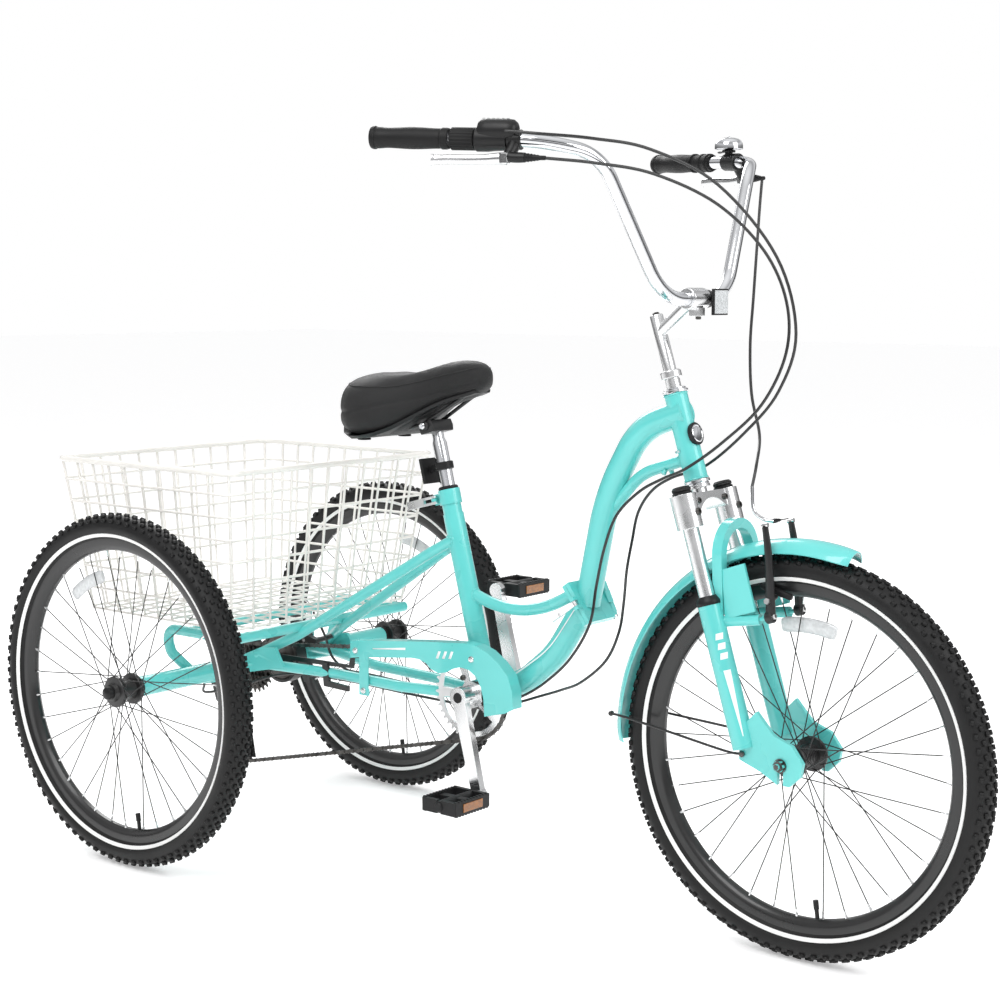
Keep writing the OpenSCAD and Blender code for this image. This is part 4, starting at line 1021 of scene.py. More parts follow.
def make_controls():
    parts, trim = [], []
    for s in (-1, 1):
        w = grip_axis(s)
        parts.append(lathe(scaled([(11.2, 222), (14.4, 222), (15.6, 223.4), (15.6, 243), (14.4, 244.6), (11.2, 244.6)]),
                           at_grip(0, side=s), w, 36, ring=True))
        parts.append(tube(curve_through([at_grip(234, 4, -4, s), at_grip(233, 12, -14, s), at_grip(230, 20, -25, s),
                                         at_grip(236, 23, -28, s), at_grip(256, 22, -28, s)], 5),
                          [0.010, 0.0102, 0.0104, 0.0102, 0.010, 0.0098, 0.0096, 0.0094, 0.0092, 0.009, 0.009, 0.0088, 0.0086,
                           0.0084, 0.0082, 0.008, 0.008, 0.008, 0.008, 0.0078, 0.0076], 20))
        boot = lathe(scaled([(0, 0), (6.8, 0), (7.4, 2), (6.2, 4), (6.8, 7), (5.6, 9), (6.2, 12), (5, 14), (5.4, 17),
                             (4.4, 19), (4.6, 22), (3.6, 25), (3.4, 34), (0, 34.5)]), at_grip(255, 22, -28, s), w, 24)
        trim.append(boot)
    hood = tube([at_grip(t, 2, 13, -1) for t in (175, 177, 181, 190, 207, 222, 232, 237, 239)],
                [0.011, 0.0152, 0.0174, 0.0184, 0.0186, 0.0182, 0.017, 0.013, 0.008], 32)
    collar = lathe(scaled([(11.2, 171.6), (18.4, 171.6), (19.2, 172.6), (19.2, 190), (18, 200), (17, 222), (11.2, 222)]),
                   at_grip(0, side=-1), grip_axis(-1), 40, ring=True)
    put("control_bodies", parts + [hood, collar], plastic(), "steerer", ["lever_mounts"])
    put("cable_boots", trim, grip_rubber(), "steerer")
    marks = [lathe(scaled([(0, 0), (2.4, 0), (2.6, 0.8), (0, 1)]), at_grip(183 + 8 * k, 2 + 0.2 * k, 31.2, -1), (0, 0, 1), 14)
             for k in range(6)]
    put("gear_window_marks", marks, decal(), "steerer")
    for s, word in ((1, "left"), (-1, "right")):
        piv = at_grip(224, 24, -30, s)
        run = Vector((-GRIP.x, -GRIP.y * s, 0)).normalized()
        off = Vector((-run.y, run.x, 0)) * s
        path = curve_through([piv + run * a / 1000 + off * b / 1000 + Vector((0, 0, c / 1000)) for a, b, c in
                              ((-4, 0, 0), (11, -1, 0), (32, -3.5, -1), (58, -4.5, -1), (86, -3, 0), (108, -1.5, 0), (118, -3.5, 0))], 6)
        n = len(path)
        radii = [0.0098 - 0.0024 * min(1, 3 * i / n) + (0.0014 if i > n * 0.9 else 0) for i in range(n)]
        put("brake_lever_" + word, [tube(path, radii, 20, flat=0.56, across=off),
                                    lathe(scaled([(0, -8.2), (7.6, -8.2), (8.6, -7), (8.6, 7), (7.6, 8.2), (0, 8.2)]), piv, (0, 0, 1), 28)],
            alloy(), "lever_" + word, ["lever_" + word])
    dome = [(0, 44), (10, 43.4), (17, 41.6), (21.6, 38.6), (24.2, 34.6), (25.2, 30), (25.4, 24), (24.6, 23.4), (24.2, 29),
            (23, 33.6), (20.4, 37), (16, 39.8), (9, 41.4), (0, 42)]
    put("bell_dome", [lathe(scaled(dome), at_grip(215), (0, 0, 1), 56),
                      lathe(scaled([(0, 43.6), (3.6, 43.6), (3.4, 45), (2, 45.8), (0, 46)]), at_grip(215), (0, 0, 1), 20)],
        chrome(), "steerer", ["bell"])
    base = [lathe(scaled([(11.2, -8), (14, -8), (15, -7), (15, 7), (14, 8), (11.2, 8)]), at_grip(215), GRIP, 32, ring=True),
            lathe(scaled([(0, 12), (7, 12), (7, 28), (4, 40), (0, 40)]), at_grip(215), (0, 0, 1), 24)]
    put("bell_base", base, plastic(), "steerer")
    a = math.radians(152)
    reach = Vector((math.cos(a), math.sin(a), 0))
    thumb = [tube([at_grip(215, 0, 19.5) + reach * r / 1000 for r in (8, 16, 26, 32, 35)],
                  [0.0042, 0.0038, 0.004, 0.0052, 0.0036], 16, flat=0.42, across=(0, 0, 1)),
             lathe(scaled([(7.2, 17.6), (11.6, 17.6), (12, 18.2), (12, 20.8), (11.6, 21.4), (7.2, 21.4)]), at_grip(215), (0, 0, 1), 28, ring=True)]
    put("bell_thumb", thumb, plastic(), "bell_lever", ["bell_lever"])


# ---------------------------------------------------------------- fork

def leg_band(name_parts, side, a_mid, s0, s1, left, right, r=19.0):
    """A thin print wrapped on a fork leg between two edges given as functions of s, in degrees."""
    outer, inner = [], []
    rows, cols = 12, 6
    for i in range(rows + 1):
        s = s0 + (s1 - s0) * i / rows
        for j in range(cols + 1):
            a = math.radians(a_mid + left(i / rows) + (right(i / rows) - left(i / rows)) * j / cols)
            way = AHEAD * math.cos(a) + Vector((0, 1, 0)) * math.sin(a) * 1
            base = on_axis(s, 7, side * 62)
            outer.append(base + way * (r + 0.22) / 1000)
            inner.append(base + way * (r - 0.4) / 1000)
    n = len(outer)
    faces = []
    wide = cols + 1
    for i in range(rows):
        for j in range(cols):
            q = (i * wide + j, i * wide + j + 1, (i + 1) * wide + j + 1, (i + 1) * wide + j)
            faces += [q, tuple(n + k for k in reversed(q))]
    edge = [(0, j) for j in range(cols)] + [(i, cols) for i in range(rows)] + [(rows, j) for j in range(cols, 0, -1)] \
        + [(i, 0) for i in range(rows, 0, -1)]
    ids = [i * wide + j for i, j in edge]
    for k, e in enumerate(ids):
        f = ids[(k + 1) % len(ids)]
        faces.append((e, f, n + f, n + e))
    name_parts.append((outer + inner, faces))


def make_fork():
    softened("fork_crown", alloy(), bevel=0.0012)
    softened("fork_lowers", paint(), bevel=0.0010)
    caps, seals, bolts = [], [], []
    for s in (-1, 1):
        base = on_axis(-22, 7, s * 62)
        caps.append(lathe(scaled([(0, 0), (16, 0), (16.4, 1), (16.4, 4), (14.4, 5), (14.4, 11), (13.2, 13.4), (9, 14), (0, 14)]),
                          base, HEAD, 40))
        caps.append(fluted(base + HEAD * 0.0045, HEAD, 0.0158, 0.0009, 18, 0, 0.008))
        seals.append(lathe(scaled([(13.7, -2), (19.6, -2), (20.2, 0), (20.0, 5), (17.4, 9), (15.2, 13), (13.7, 13)]),
                           on_axis(-203, 7, s * 62), HEAD, 44, ring=True))
        bolts.append(lathe(scaled([(0, 0), (6.2, 0), (6.2, 3.4), (5, 4.6), (3, 4.6), (2.8, 2.4), (0, 2.4)]),
                           on_axis(-54, 7 + 21, s * 62), AHEAD, 24))
        bolts.append(lathe(scaled([(0, 0), (5.2, 0), (5.2, 3), (4, 4), (2.4, 4), (2.2, 2), (0, 2)]),
                           on_axis(-36, 20, s * 40), AHEAD, 24))
    put("crown_knobs", caps, plastic(), "steerer", ["crown_caps"], sharp=30)
    put("crown_bolts", bolts, dark_steel(), "steerer")
    put("fork_wipers", seals, plastic(), "fork_lower")
    webs = []
    for s in (-1, 1):
        corners = [(1096, 50, 560), (1118, 50, 640), (1106, 50, 640), (1086, 50, 560)]
        for y0 in (50,):
            webs.append(slab([(0, 0), (0.058, 0.016), (0.044, 0.092), (0.002, 0.080)], 0.006, mm(1112, s * 53, 552),
                             (1, 0, 0.05), (-0.12, 0, 1)))
    put("fork_web_plates", webs, paint(), "fork_lower", bevel=0.001)
    prints = []
    for s in (-1, 1):
        mid = 62 if s > 0 else -62
        out = s * 48
        for k in range(3):
            leg_band(prints, s, out, -262 - k * 16, -252 - k * 16, lambda q: -20 + 8 * q, lambda q: 18 + 8 * q)
        leg_band(prints, s, out, -420, -312, lambda q: -2 - 16 * q, lambda q: 2 + 16 * q)
    put("fork_prints", prints, decal(), "fork_lower")
    c = mm(WHEELBASE, 0, AXLE_Z)
    nuts = []
    for s in (-1, 1):
        nuts.append(lathe(scaled([(0, 66), (11, 66), (11.4, 67), (11.4, 68), (0, 68)]), c, (0, s, 0), 32))
        nuts.append(lathe(scaled([(0, 68), (9.4, 68), (9.4, 74.5), (8, 76), (5, 76), (5, 80), (0, 81)]), c, (0, s, 0), 6))
        nuts.append(lathe(scaled([(0, 64), (5, 64), (5.2, 70), (3.5, 71.5), (0, 72)]), mm(1156, 0, 340), (0, s, 0), 6))
    put("axle_nuts", nuts, dark_steel(), "fork_lower")


def make_fender():
    c = mm(WHEELBASE, 0, AXLE_Z)
    section = [(314 + 41 * math.cos(math.radians(a)), 38 * math.sin(math.radians(a))) for a in range(-60, 61, 10)]
    under = [(312.4 + 40.6 * math.cos(math.radians(a)), 36.6 * math.sin(math.radians(a))) for a in range(60, -61, -10)]
    ring = section + under
    n, rows = len(ring), 72
    verts, faces = [], []
    for i in range(rows + 1):
        share = i / rows
        narrow = 1 - 0.30 * max(0, (0.05 - share) / 0.05) ** 2 - 0.30 * max(0, (share - 0.95) / 0.05) ** 2
        a = 75 + 109 * share
        verts += [wheel_point(c, r, a, y * narrow) for r, y in ring]
    for i in range(rows):
        for k in range(n):
            m = (k + 1) % n
            faces.append((i * n + k, i * n + m, (i + 1) * n + m, (i + 1) * n + k))
    faces += [tuple(range(n)), tuple(rows * n + k for k in range(n))]
    put("fender_shell", [(verts, faces)], paint(), "fork_lower", ["front_fender"], sharp=40)
    stays = [tube(curve_through([mm(x, s * y, z) for x, y, z in
                                 ((1156, 69, 340), (1120, 66, 340), (1000, 50, 350), (900, 38, 358), (874, 37.5, 359))], 6),
                  0.0022, 12) for s in (-1, 1)]
    heads = [lathe(scaled([(0, 33), (4.5, 33), (4.5, 38), (3.4, 40), (0, 40.4)]), mm(876, 0, 359), (0, s, 0), 16) for s in (-1, 1)]
    put("fender_stays", stays + heads, black_metal(), "fork_lower", ["front_fender"])


def make_vbrakes():
    for s, word in ((-1, "right"), (1, "left")):
        body = "vbrake_" + word
        p = mm(1184.5, s * 46, 561.2)
        top = mm(1168, s * 40.5, 706) + AHEAD * 0.006
        arm = curve_through([p + AHEAD * 0.007, p * 0.66 + top * 0.34 + AHEAD * 0.0068, p * 0.3 + top * 0.7 + AHEAD * 0.005, top], 6)
        n = len(arm)
        parts = [tube(arm, [0.0088 - 0.0036 * i / n for i in range(n)], 20, flat=0.72, across=(0, 1, 0)),
                 lathe(scaled([(0, 0.2), (9.4, 0.2), (10, 1.2), (10, 11), (9, 12.4), (0, 12.4)]), p, AHEAD, 32),
                 tube([p + AHEAD * 0.006 + Vector((-0.002, 0, 0.025)), p + AHEAD * 0.006 + Vector((-0.002, -s * 0.018, 0.031))],
                      0.0046, 16)]
        put("brake_arm_" + word, parts, black_metal(), body, [body])
        pad_mid = mm(1187, s * 22, 601)
        lean = Vector((math.cos(math.radians(14)), 0, -math.sin(math.radians(14))))
        put("brake_pad_" + word, [tube([pad_mid + lean * a / 1000 for a in (-29, -26, 0, 26, 29)],
                                       [0.0036, 0.0056, 0.006, 0.0056, 0.0036], 16, flat=0.82, across=(0, 1, 0))],
            grip_rubber(), body)
        bolt = [lathe(scaled([(0, 11), (5.4, 11), (5.4, 15), (4, 16.2), (2.6, 16.2), (2.4, 13.5), (0, 13.5)]), p, AHEAD, 6),
                lathe(scaled([(0, 0), (5.2, 0), (5.2, 4), (0, 4.6)]), p + AHEAD * 0.006 + Vector((-0.002, s * 0.006, 0.026)), (0, s, 0.2), 6),
                lathe(scaled([(0, -6), (3.6, -6), (3.6, 6), (0, 6)]), top, AHEAD, 14)]
        put("brake_bolts_" + word, bolt, alloy(), body)


# ---------------------------------------------------------------- drive

BB = (575.5, 351.0)
RING_R = 40 * 12.7 / (2 * math.pi)
COG_R = 20 * 12.7 / (2 * math.pi)


def belt_points():
    """The chain's line round its four wheels, in the plane X Z, in millimetres."""
    centres = [(0, AXLE_Z), (-26, 244), (-8, 152), BB]
    radii = [COG_R, -20.0, 20.0, RING_R]

    def turn(i):
        j = (i + 1) % 4
        dx, dz = centres[j][0] - centres[i][0], centres[j][1] - centres[i][1]
        return math.atan2(dz, dx) + math.asin((radii[i] - radii[j]) / math.hypot(dx, dz))

    line = []
    for i in range(4):
        a, b0 = turn((i - 1) % 4), turn(i)
        b = a + (b0 - a) % (2 * math.pi) if radii[i] > 0 else a - (a - b0) % (2 * math.pi)
        for k in range(25):
            t = a + (b - a) * k / 24
            line.append((centres[i][0] + radii[i] * math.sin(t), centres[i][1] - radii[i] * math.cos(t)))
    return line


def evenly(line, count):
    pts = [Vector((x, 0, z)) for x, z in line] + [Vector((line[0][0], 0, line[0][1]))]
    run = [0.0]
    for a, b in zip(pts, pts[1:]):
        run.append(run[-1] + (b - a).length)
    out, i = [], 0
    for k in range(count):
        want = run[-1] * k / count
        while run[i + 1] < want:
            i += 1
        share = (want - run[i]) / max(run[i + 1] - run[i], 1e-9)
        out.append(pts[i].lerp(pts[i + 1], share))
    return out, run[-1]


def link_shape(name, gap):
    """A pair of link plates on a pitch of 12.7 mm with one roller."""
    parts = []
    outline = [(x, z) for x, z in ((-0.0085, -0.0028), (-0.0062, -0.0040), (-0.0034, -0.0030), (0.0034, -0.0030),
                                   (0.0062, -0.0040), (0.0085, -0.0028), (0.0088, 0), (0.0085, 0.0028), (0.0062, 0.0040),
                                   (0.0034, 0.0030), (-0.0034, 0.0030), (-0.0062, 0.0040), (-0.0085, 0.0028), (-0.0088, 0))]
    for s in (-1, 1):
        parts.append(slab(outline, 0.001, (0, s * gap, 0), (1, 0, 0), (0, 0, 1)))
    parts.append(lathe([(0, -gap - 0.0004), (0.0032, -gap), (0.0032, gap), (0, gap + 0.0004)], (-0.00635, 0, 0), (0, 1, 0), 8))
    return pattern(name, parts)


def make_chain():
    points, length = evenly(belt_points(), 2)
    count = 2 * round(length / 12.7 / 2)
    points, length = evenly(belt_points(), count)
    for turn_no, (name, gap) in enumerate((("inner", 0.0020), ("outer", 0.0031))):
        shape = link_shape("link_" + name, gap)
        places = []
        for i in range(turn_no, count, 2):
            a, b = points[i], points[(i + 1) % count]
            run = (b - a).normalized()
            mid = (a + b) / 2
            up = run.cross(Vector((0, 1, 0)))
            turn = Matrix((run, Vector((0, 1, 0)), up)).transposed()
            places.append((mm(mid.x, -49, mid.z), turn))
        stamped("chain_links_" + name, shape, places, dark_steel(), "rear_frame", stands_for=["chain"])
        drop(shape)


def make_cranks():
    softened("crank_right", alloy(), bevel=0.0016)
    softened("crank_left", alloy(), bevel=0.0016)
    c = mm(BB[0], 0, BB[1])
    bits, dark = [], []
    for k in range(5):
        a = math.radians(14.6 + 36 + 72 * k)
        bits.append(lathe(scaled([(0, 0), (5, 0), (5, 2.4), (3.8, 3.4), (2, 3.4), (1.8, 1.6), (0, 1.6)]),
                          c + Vector((0.034 * math.cos(a), -0.0505, 0.034 * math.sin(a))), (0, -1, 0), 16))
    for s in (-1, 1):
        dark.append(lathe(scaled([(0, 86.4), (9, 86.4), (9.6, 87.4), (8.4, 89.2), (0, 89.6)]), c, (0, s, 0), 28))
        dark.append(lathe(scaled([(0, -2), (6, -2), (6, 0.8), (0, 0.8)]),
                          mm(BB[0] - s * 175 * math.sin(math.radians(14.6)), s * 87, BB[1] + s * 175 * math.cos(math.radians(14.6))),
                          (0, s, 0), 6))
    put("chainring_bolts", bits, dark_steel(), "crank")
    put("crank_dust_caps", dark, plastic(), "crank")


def make_pedals():
    for s, word in ((-1, "right"), (1, "left")):
        cx = BB[0] - s * 175 * math.sin(math.radians(14.6))
        cz = BB[1] + s * 175 * math.cos(math.radians(14.6))
        y0, y1 = (-190, -96) if s < 0 else (96, 190)
        mid = (y0 + y1) / 2
        parts = [lathe(scaled([(7.2, -46.5), (10.4, -46.5), (11, -44), (11, 44), (10.4, 46.5), (7.2, 46.5)]), mm(cx, mid, cz), (0, 1, 0), 28, ring=True)]
        for side in (-1, 1):
            teeth = []
            count = 11
            for k in range(count):
                y = -0.045 + 0.09 * k / count
                teeth += [(y, 0.0112), (y + 0.0016, 0.0138), (y + 0.0052, 0.0138), (y + 0.0068, 0.0112)]
            teeth.append((0.046, 0.0112))
            outline = [(-0.046, 0.0112)] + teeth[1:] + [(y, -z) for y, z in reversed(teeth[:-1])]
            clean = []
            for q in outline:
                if not clean or (abs(q[0] - clean[-1][0]) + abs(q[1] - clean[-1][1])) > 1e-6:
                    clean.append(q)
            parts.append(slab(clean, 0.006, mm(cx + side * 35.6, mid, cz), (0, 1, 0), (0, 0, 1)))
            for end in (-1, 1):
                parts.append(brick(mm(cx + side * 21, mid + end * 42.4, cz), (0.034, 0.009, 0.024)))
            parts.append(brick(mm(cx + side * 21, mid, cz), (0.034, 0.016, 0.018)))
        put("pedal_cage_" + word, parts, plastic(), "pedal_" + word, ["pedal_" + word], bevel=0.0007)
        lens = [brick(mm(cx + side * 39, mid, cz), (0.0022, 0.052, 0.015)) for side in (-1, 1)]
        put("pedal_lenses_" + word, lens, amber(), "pedal_" + word, bevel=0.0006)
        boss = lathe(scaled([(0, -1), (6.6, -1), (7.2, 0), (7.2, 5), (0, 5.5)]), mm(cx, y1 if s > 0 else y0, cz), (0, -s, 0), 20)
        tail = lathe(scaled([(0, 0), (8.4, 0), (8.8, 1), (7.4, 2.6), (0, 3)]), mm(cx, y1 if s > 0 else y0, cz), (0, s, 0), 24)
        put("pedal_cap_" + word, [tail], plastic(), "pedal_" + word)


def make_rear_drive():
    softened("cassette", dark_steel(), bevel=0.0003)
    softened("derailleur", black_metal(), bevel=0.0008)
    softened("band_brake", black_metal(), bevel=0.001)
    softened("brake_arm", alloy(), bevel=0.0008)
    wheels = []
    for x, z in ((-26, 244), (-8, 152)):
        ring = []
        for k in range(44):
            a = 2 * math.pi * k / 44
            r = 0.0182 if k % 4 in (0, 1) else 0.0156
            ring.append((r * math.cos(a), r * math.sin(a)))
        wheels.append(slab(ring, 0.0022, mm(x, -49, z), (1, 0, 0), (0, 0, 1)))
        wheels.append(lathe(scaled([(0, -9.6), (5, -9.6), (6, -8.6), (6, 9), (5, 10), (0, 10)]), mm(x, -49, z), (0, 1, 0), 20))
    put("jockey_wheels", wheels, plastic(), "derailleur")
    softened("chain_guard", paint(), bevel=0.0007)
    softened("guard_bracket", black_metal(), bevel=0.0006)
    prints = []
    for x0, x1, z in ((350, 430, 410),):
        prints.append(slab([(0, -0.0018), (0.082, 0.0018), (0.082, 0.0062), (0, -0.0002)], 0.0005, mm(x0, -66.15, z), (1, 0, 0.06), (0, 0, 1)))
    for k in range(3):
        x = 506 + k * 15
        prints.append(slab([(0, -0.007), (0.006, -0.007), (0.012, 0.007), (0.006, 0.007)], 0.0005, mm(x, -66.15, 418 + k * 1.6), (1, 0, 0), (0, 0, 1)))
    put("guard_prints", prints, decal(), "rear_frame")
    bolts = [lathe(scaled([(0, 0), (6.4, 0), (6.4, 1), (5, 3.2), (2.4, 3.8), (2.2, 2), (0, 2)]), mm(x, -66, z), (0, -1, 0), 24)
             for x, z in ((306, 400), (326, 326), (590, 420))]
    put("guard_bolts", bolts, alloy(), "rear_frame")


# ---------------------------------------------------------------- basket

def basket_outline(z, grow=0.0):
    """The basket's corners at a height: low x, high x and half its width, in millimetres."""
    g = (748 - z) * 0.13
    return -296 + g - grow, 199 - g + grow, 283 - g + grow


def rounded_loop(x0, x1, w, z, r=26.0, steps=6):
    pts = []
    for cx, cy, a0 in ((x1 - r, w - r, 0), (x0 + r, w - r, 90), (x0 + r, -w + r, 180), (x1 - r, -w + r, 270)):
        for k in range(steps + 1):
            a = math.radians(a0 + 90 * k / steps)
            pts.append(mm(cx + r * math.cos(a), cy + r * math.sin(a), z))
    return pts


def wires(name, polylines, thickness, sides, stands_for):
    verts, edges = [], []
    for line, closed in polylines:
        base = len(verts)
        verts += [tuple(p) for p in line]
        edges += [(base + i, base + i + 1) for i in range(len(line) - 1)]
        if closed:
            edges.append((base + len(line) - 1, base))
    mesh = bpy.data.meshes.new(name)
    mesh.from_pydata(verts, edges, [])
    piece = bpy.data.objects.new(name, mesh)
    bpy.context.scene.collection.objects.link(piece)
    run_tree(piece, "wire", Thickness=thickness, Sides=sides, Finish=basket_coat())
    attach(piece, "rear_frame")
    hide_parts(stands_for)
    return piece


def make_basket():
    top, low = 745.0, 445.0
    rows = sizes().basket_rows
    levels = []
    for k in range(1, rows):
        z = top - (top - low) * k / rows
        levels.append((rounded_loop(*basket_outline(z), z), True))
    levels.append((rounded_loop(*basket_outline(low), low), True))
    ups = []
    n_across, n_along = sizes().basket_across, sizes().basket_along
    for k in range(1, n_across):
        share = 2 * k / n_across - 1
        line = []
        for end, zs in ((1, (top, low)), (0, (low, top))):
            for z in zs:
                x0, x1, w = basket_outline(z)
                line.append(mm(x1 + 2.6 if end else x0 - 2.6, share * (w - 10), z - (3 if z == low else 0)))
        ups.append((line, False))
    for k in range(1, n_along):
        share = k / n_along
        line = []
        for side, zs in ((1, (top, low)), (-1, (low, top))):
            for z in zs:
                x0, x1, w = basket_outline(z)
                line.append(mm(x0 + 12 + (x1 - x0 - 24) * share, side * (w - 2.6), z - (0 if z == top else -3)))
        ups.append((line, False))
    for sx in (0, 1):
        for sy in (-1, 1):
            line = []
            for z in (top, low):
                x0, x1, w = basket_outline(z)
                line.append(mm((x1 - 8) if sx else (x0 + 8), sy * (w - 8), z))
            ups.append((line, False))
    wires("basket_level_wires", levels, sizes().wire, 8, "basket")
    wires("basket_upright_wires", ups, sizes().wire, 8, "basket")
    rims = [(rounded_loop(*basket_outline(746, -1.0), 742), True)]
    wires("basket_rim_wire", rims, sizes().wire * 2.2, 14, "basket")


# ---------------------------------------------------------------- seat

SADDLE = [  # place along the machine, half width, top, bottom
    (275, 30, 884, 858), (279, 58, 898, 838), (288, 84, 909, 820), (302, 101, 915, 809), (322, 110, 918, 804),
    (348, 110, 918, 806), (374, 102, 917, 812), (398, 86, 917, 822), (420, 67, 920, 836), (442, 51, 926, 850),
    (466, 41, 934, 863), (492, 35, 942, 874), (518, 32, 948, 882), (542, 30, 950, 888), (560, 26, 947, 894),
    (572, 18, 940, 902), (578, 8, 930, 912)]


def saddle_shell():
    around = 36
    verts, faces = [], []
    for x, w, top, low in SADDLE:
        mid = low + 0.42 * (top - low)
        for k in range(around):
            a = 2 * math.pi * k / around
            c, s = math.cos(a), math.sin(a)
            y = w * math.copysign(abs(c) ** 0.72, c)
            z = mid + (top - mid) * abs(s) ** 0.78 if s >= 0 else mid - (mid - low) * abs(s) ** 0.5
            dip = 4.0 * math.exp(-(y / 10) ** 2) if s > 0 and 330 < x < 500 else 0
            verts.append(mm(x, y, z - dip))
    n = len(SADDLE)
    for i in range(n - 1):
        for k in range(around):
            m = (k + 1) % around
            faces.append((i * around + k, i * around + m, (i + 1) * around + m, (i + 1) * around + k))
    faces += [tuple(range(around)), tuple((n - 1) * around + k for k in range(around))]
    return verts, faces


def swollen(piece):
    """The padding pushes the cover out: a short pressure simulation, capped."""
    voxel = piece.modifiers.new("even mesh", "REMESH")
    voxel.mode = "VOXEL"
    voxel.voxel_size = 0.005
    voxel.use_smooth_shade = True
    applied(piece)
    rest = [v.co.copy() for v in piece.data.vertices]
    scene = bpy.context.scene
    cloth = piece.modifiers.new("padding", "CLOTH")
    cloth.settings.use_pressure = True
    cloth.settings.uniform_pressure_force = 4
    cloth.settings.effector_weights.gravity = 0
    cloth.settings.tension_stiffness = 40
    cloth.settings.compression_stiffness = 40
    for step in range(1, 21):
        scene.frame_set(step)
    applied(piece)
    cap = sizes().stitch
    for v, at in zip(piece.data.vertices, rest):
        move = v.co - at
        if move.length > cap:
            v.co = at + move * (cap / move.length)
    scene.frame_set(1)


def smoothed(piece, levels=1):
    even = piece.modifiers.new("smooth", "SMOOTH")
    even.factor = 0.5
    even.iterations = 3
    fine = piece.modifiers.new("finer", "SUBSURF")
    fine.levels = levels
    fine.render_levels = levels
    return applied(piece)


def make_saddle():
    cover = build("saddle_pad", [saddle_shell()], 60)
    swollen(cover)
    smoothed(cover)
    cover.data.materials.clear()
    cover.data.materials.append(saddle_cover())
    cover.data.polygons.foreach_set("use_smooth", [True] * len(cover.data.polygons))
    for v in cover.data.vertices:
        rise = (v.co.z - 0.858)
        side = abs(v.co.y)
        x = (v.co.x + WHEELBASE / 2000) * 1000
        groove = math.exp(-((v.co.z - (0.852 + 0.062 * max(0, (x - 330) / 245))) / 0.004) ** 2)
        if side > 0.018:
            v.co.y -= math.copysign(0.0028 * groove, v.co.y)
    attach(cover, "seat")
    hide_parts("saddle")
    skin = BVHTree.FromObject(cover, bpy.context.evaluated_depsgraph_get())
    seams = []
    for s in (-1, 1):
        line = []
        for x in range(292, 566, 7):
            w = max(6, sum((1 - abs(x - a) / 30) * b for a, b, _, _ in SADDLE if abs(x - a) < 30)
                    / max(1e-6, sum(1 - abs(x - a) / 30 for a, _, _, _ in SADDLE if abs(x - a) < 30)))
            spot, normal, _, _ = skin.find_nearest(mm(x, s * w * 0.86, 904 + 34 * max(0, (x - 400) / 170)))
            line.append(spot + normal * 0.0002)
        seams.append(tube(curve_through(line, 2), 0.0012, 8))
    put("saddle_seams", seams, saddle_cover(), "seat")
    base = []
    for x, w, top, low in SADDLE[2:-2:1]:
        base.append((x, w))
    plate_verts, plate_faces = [], []
    count = len(base)
    for x, w in base:
        low = next(l for a, _, _, l in SADDLE if a == x)
        for y, dz in ((-0.90, 1.0), (-0.82, -5.0), (0.82, -5.0), (0.90, 1.0)):
            plate_verts.append(mm(x, y * w, low + dz + 3))
    for i in range(count - 1):
        for k in range(4):
            m = (k + 1) % 4
            plate_faces.append((i * 4 + k, i * 4 + m, (i + 1) * 4 + m, (i + 1) * 4 + k))
    plate_faces += [(0, 1, 2, 3), tuple((count - 1) * 4 + k for k in range(4))]
    put("saddle_base", [(plate_verts, plate_faces)], plastic(), "seat", bevel=0.0012)


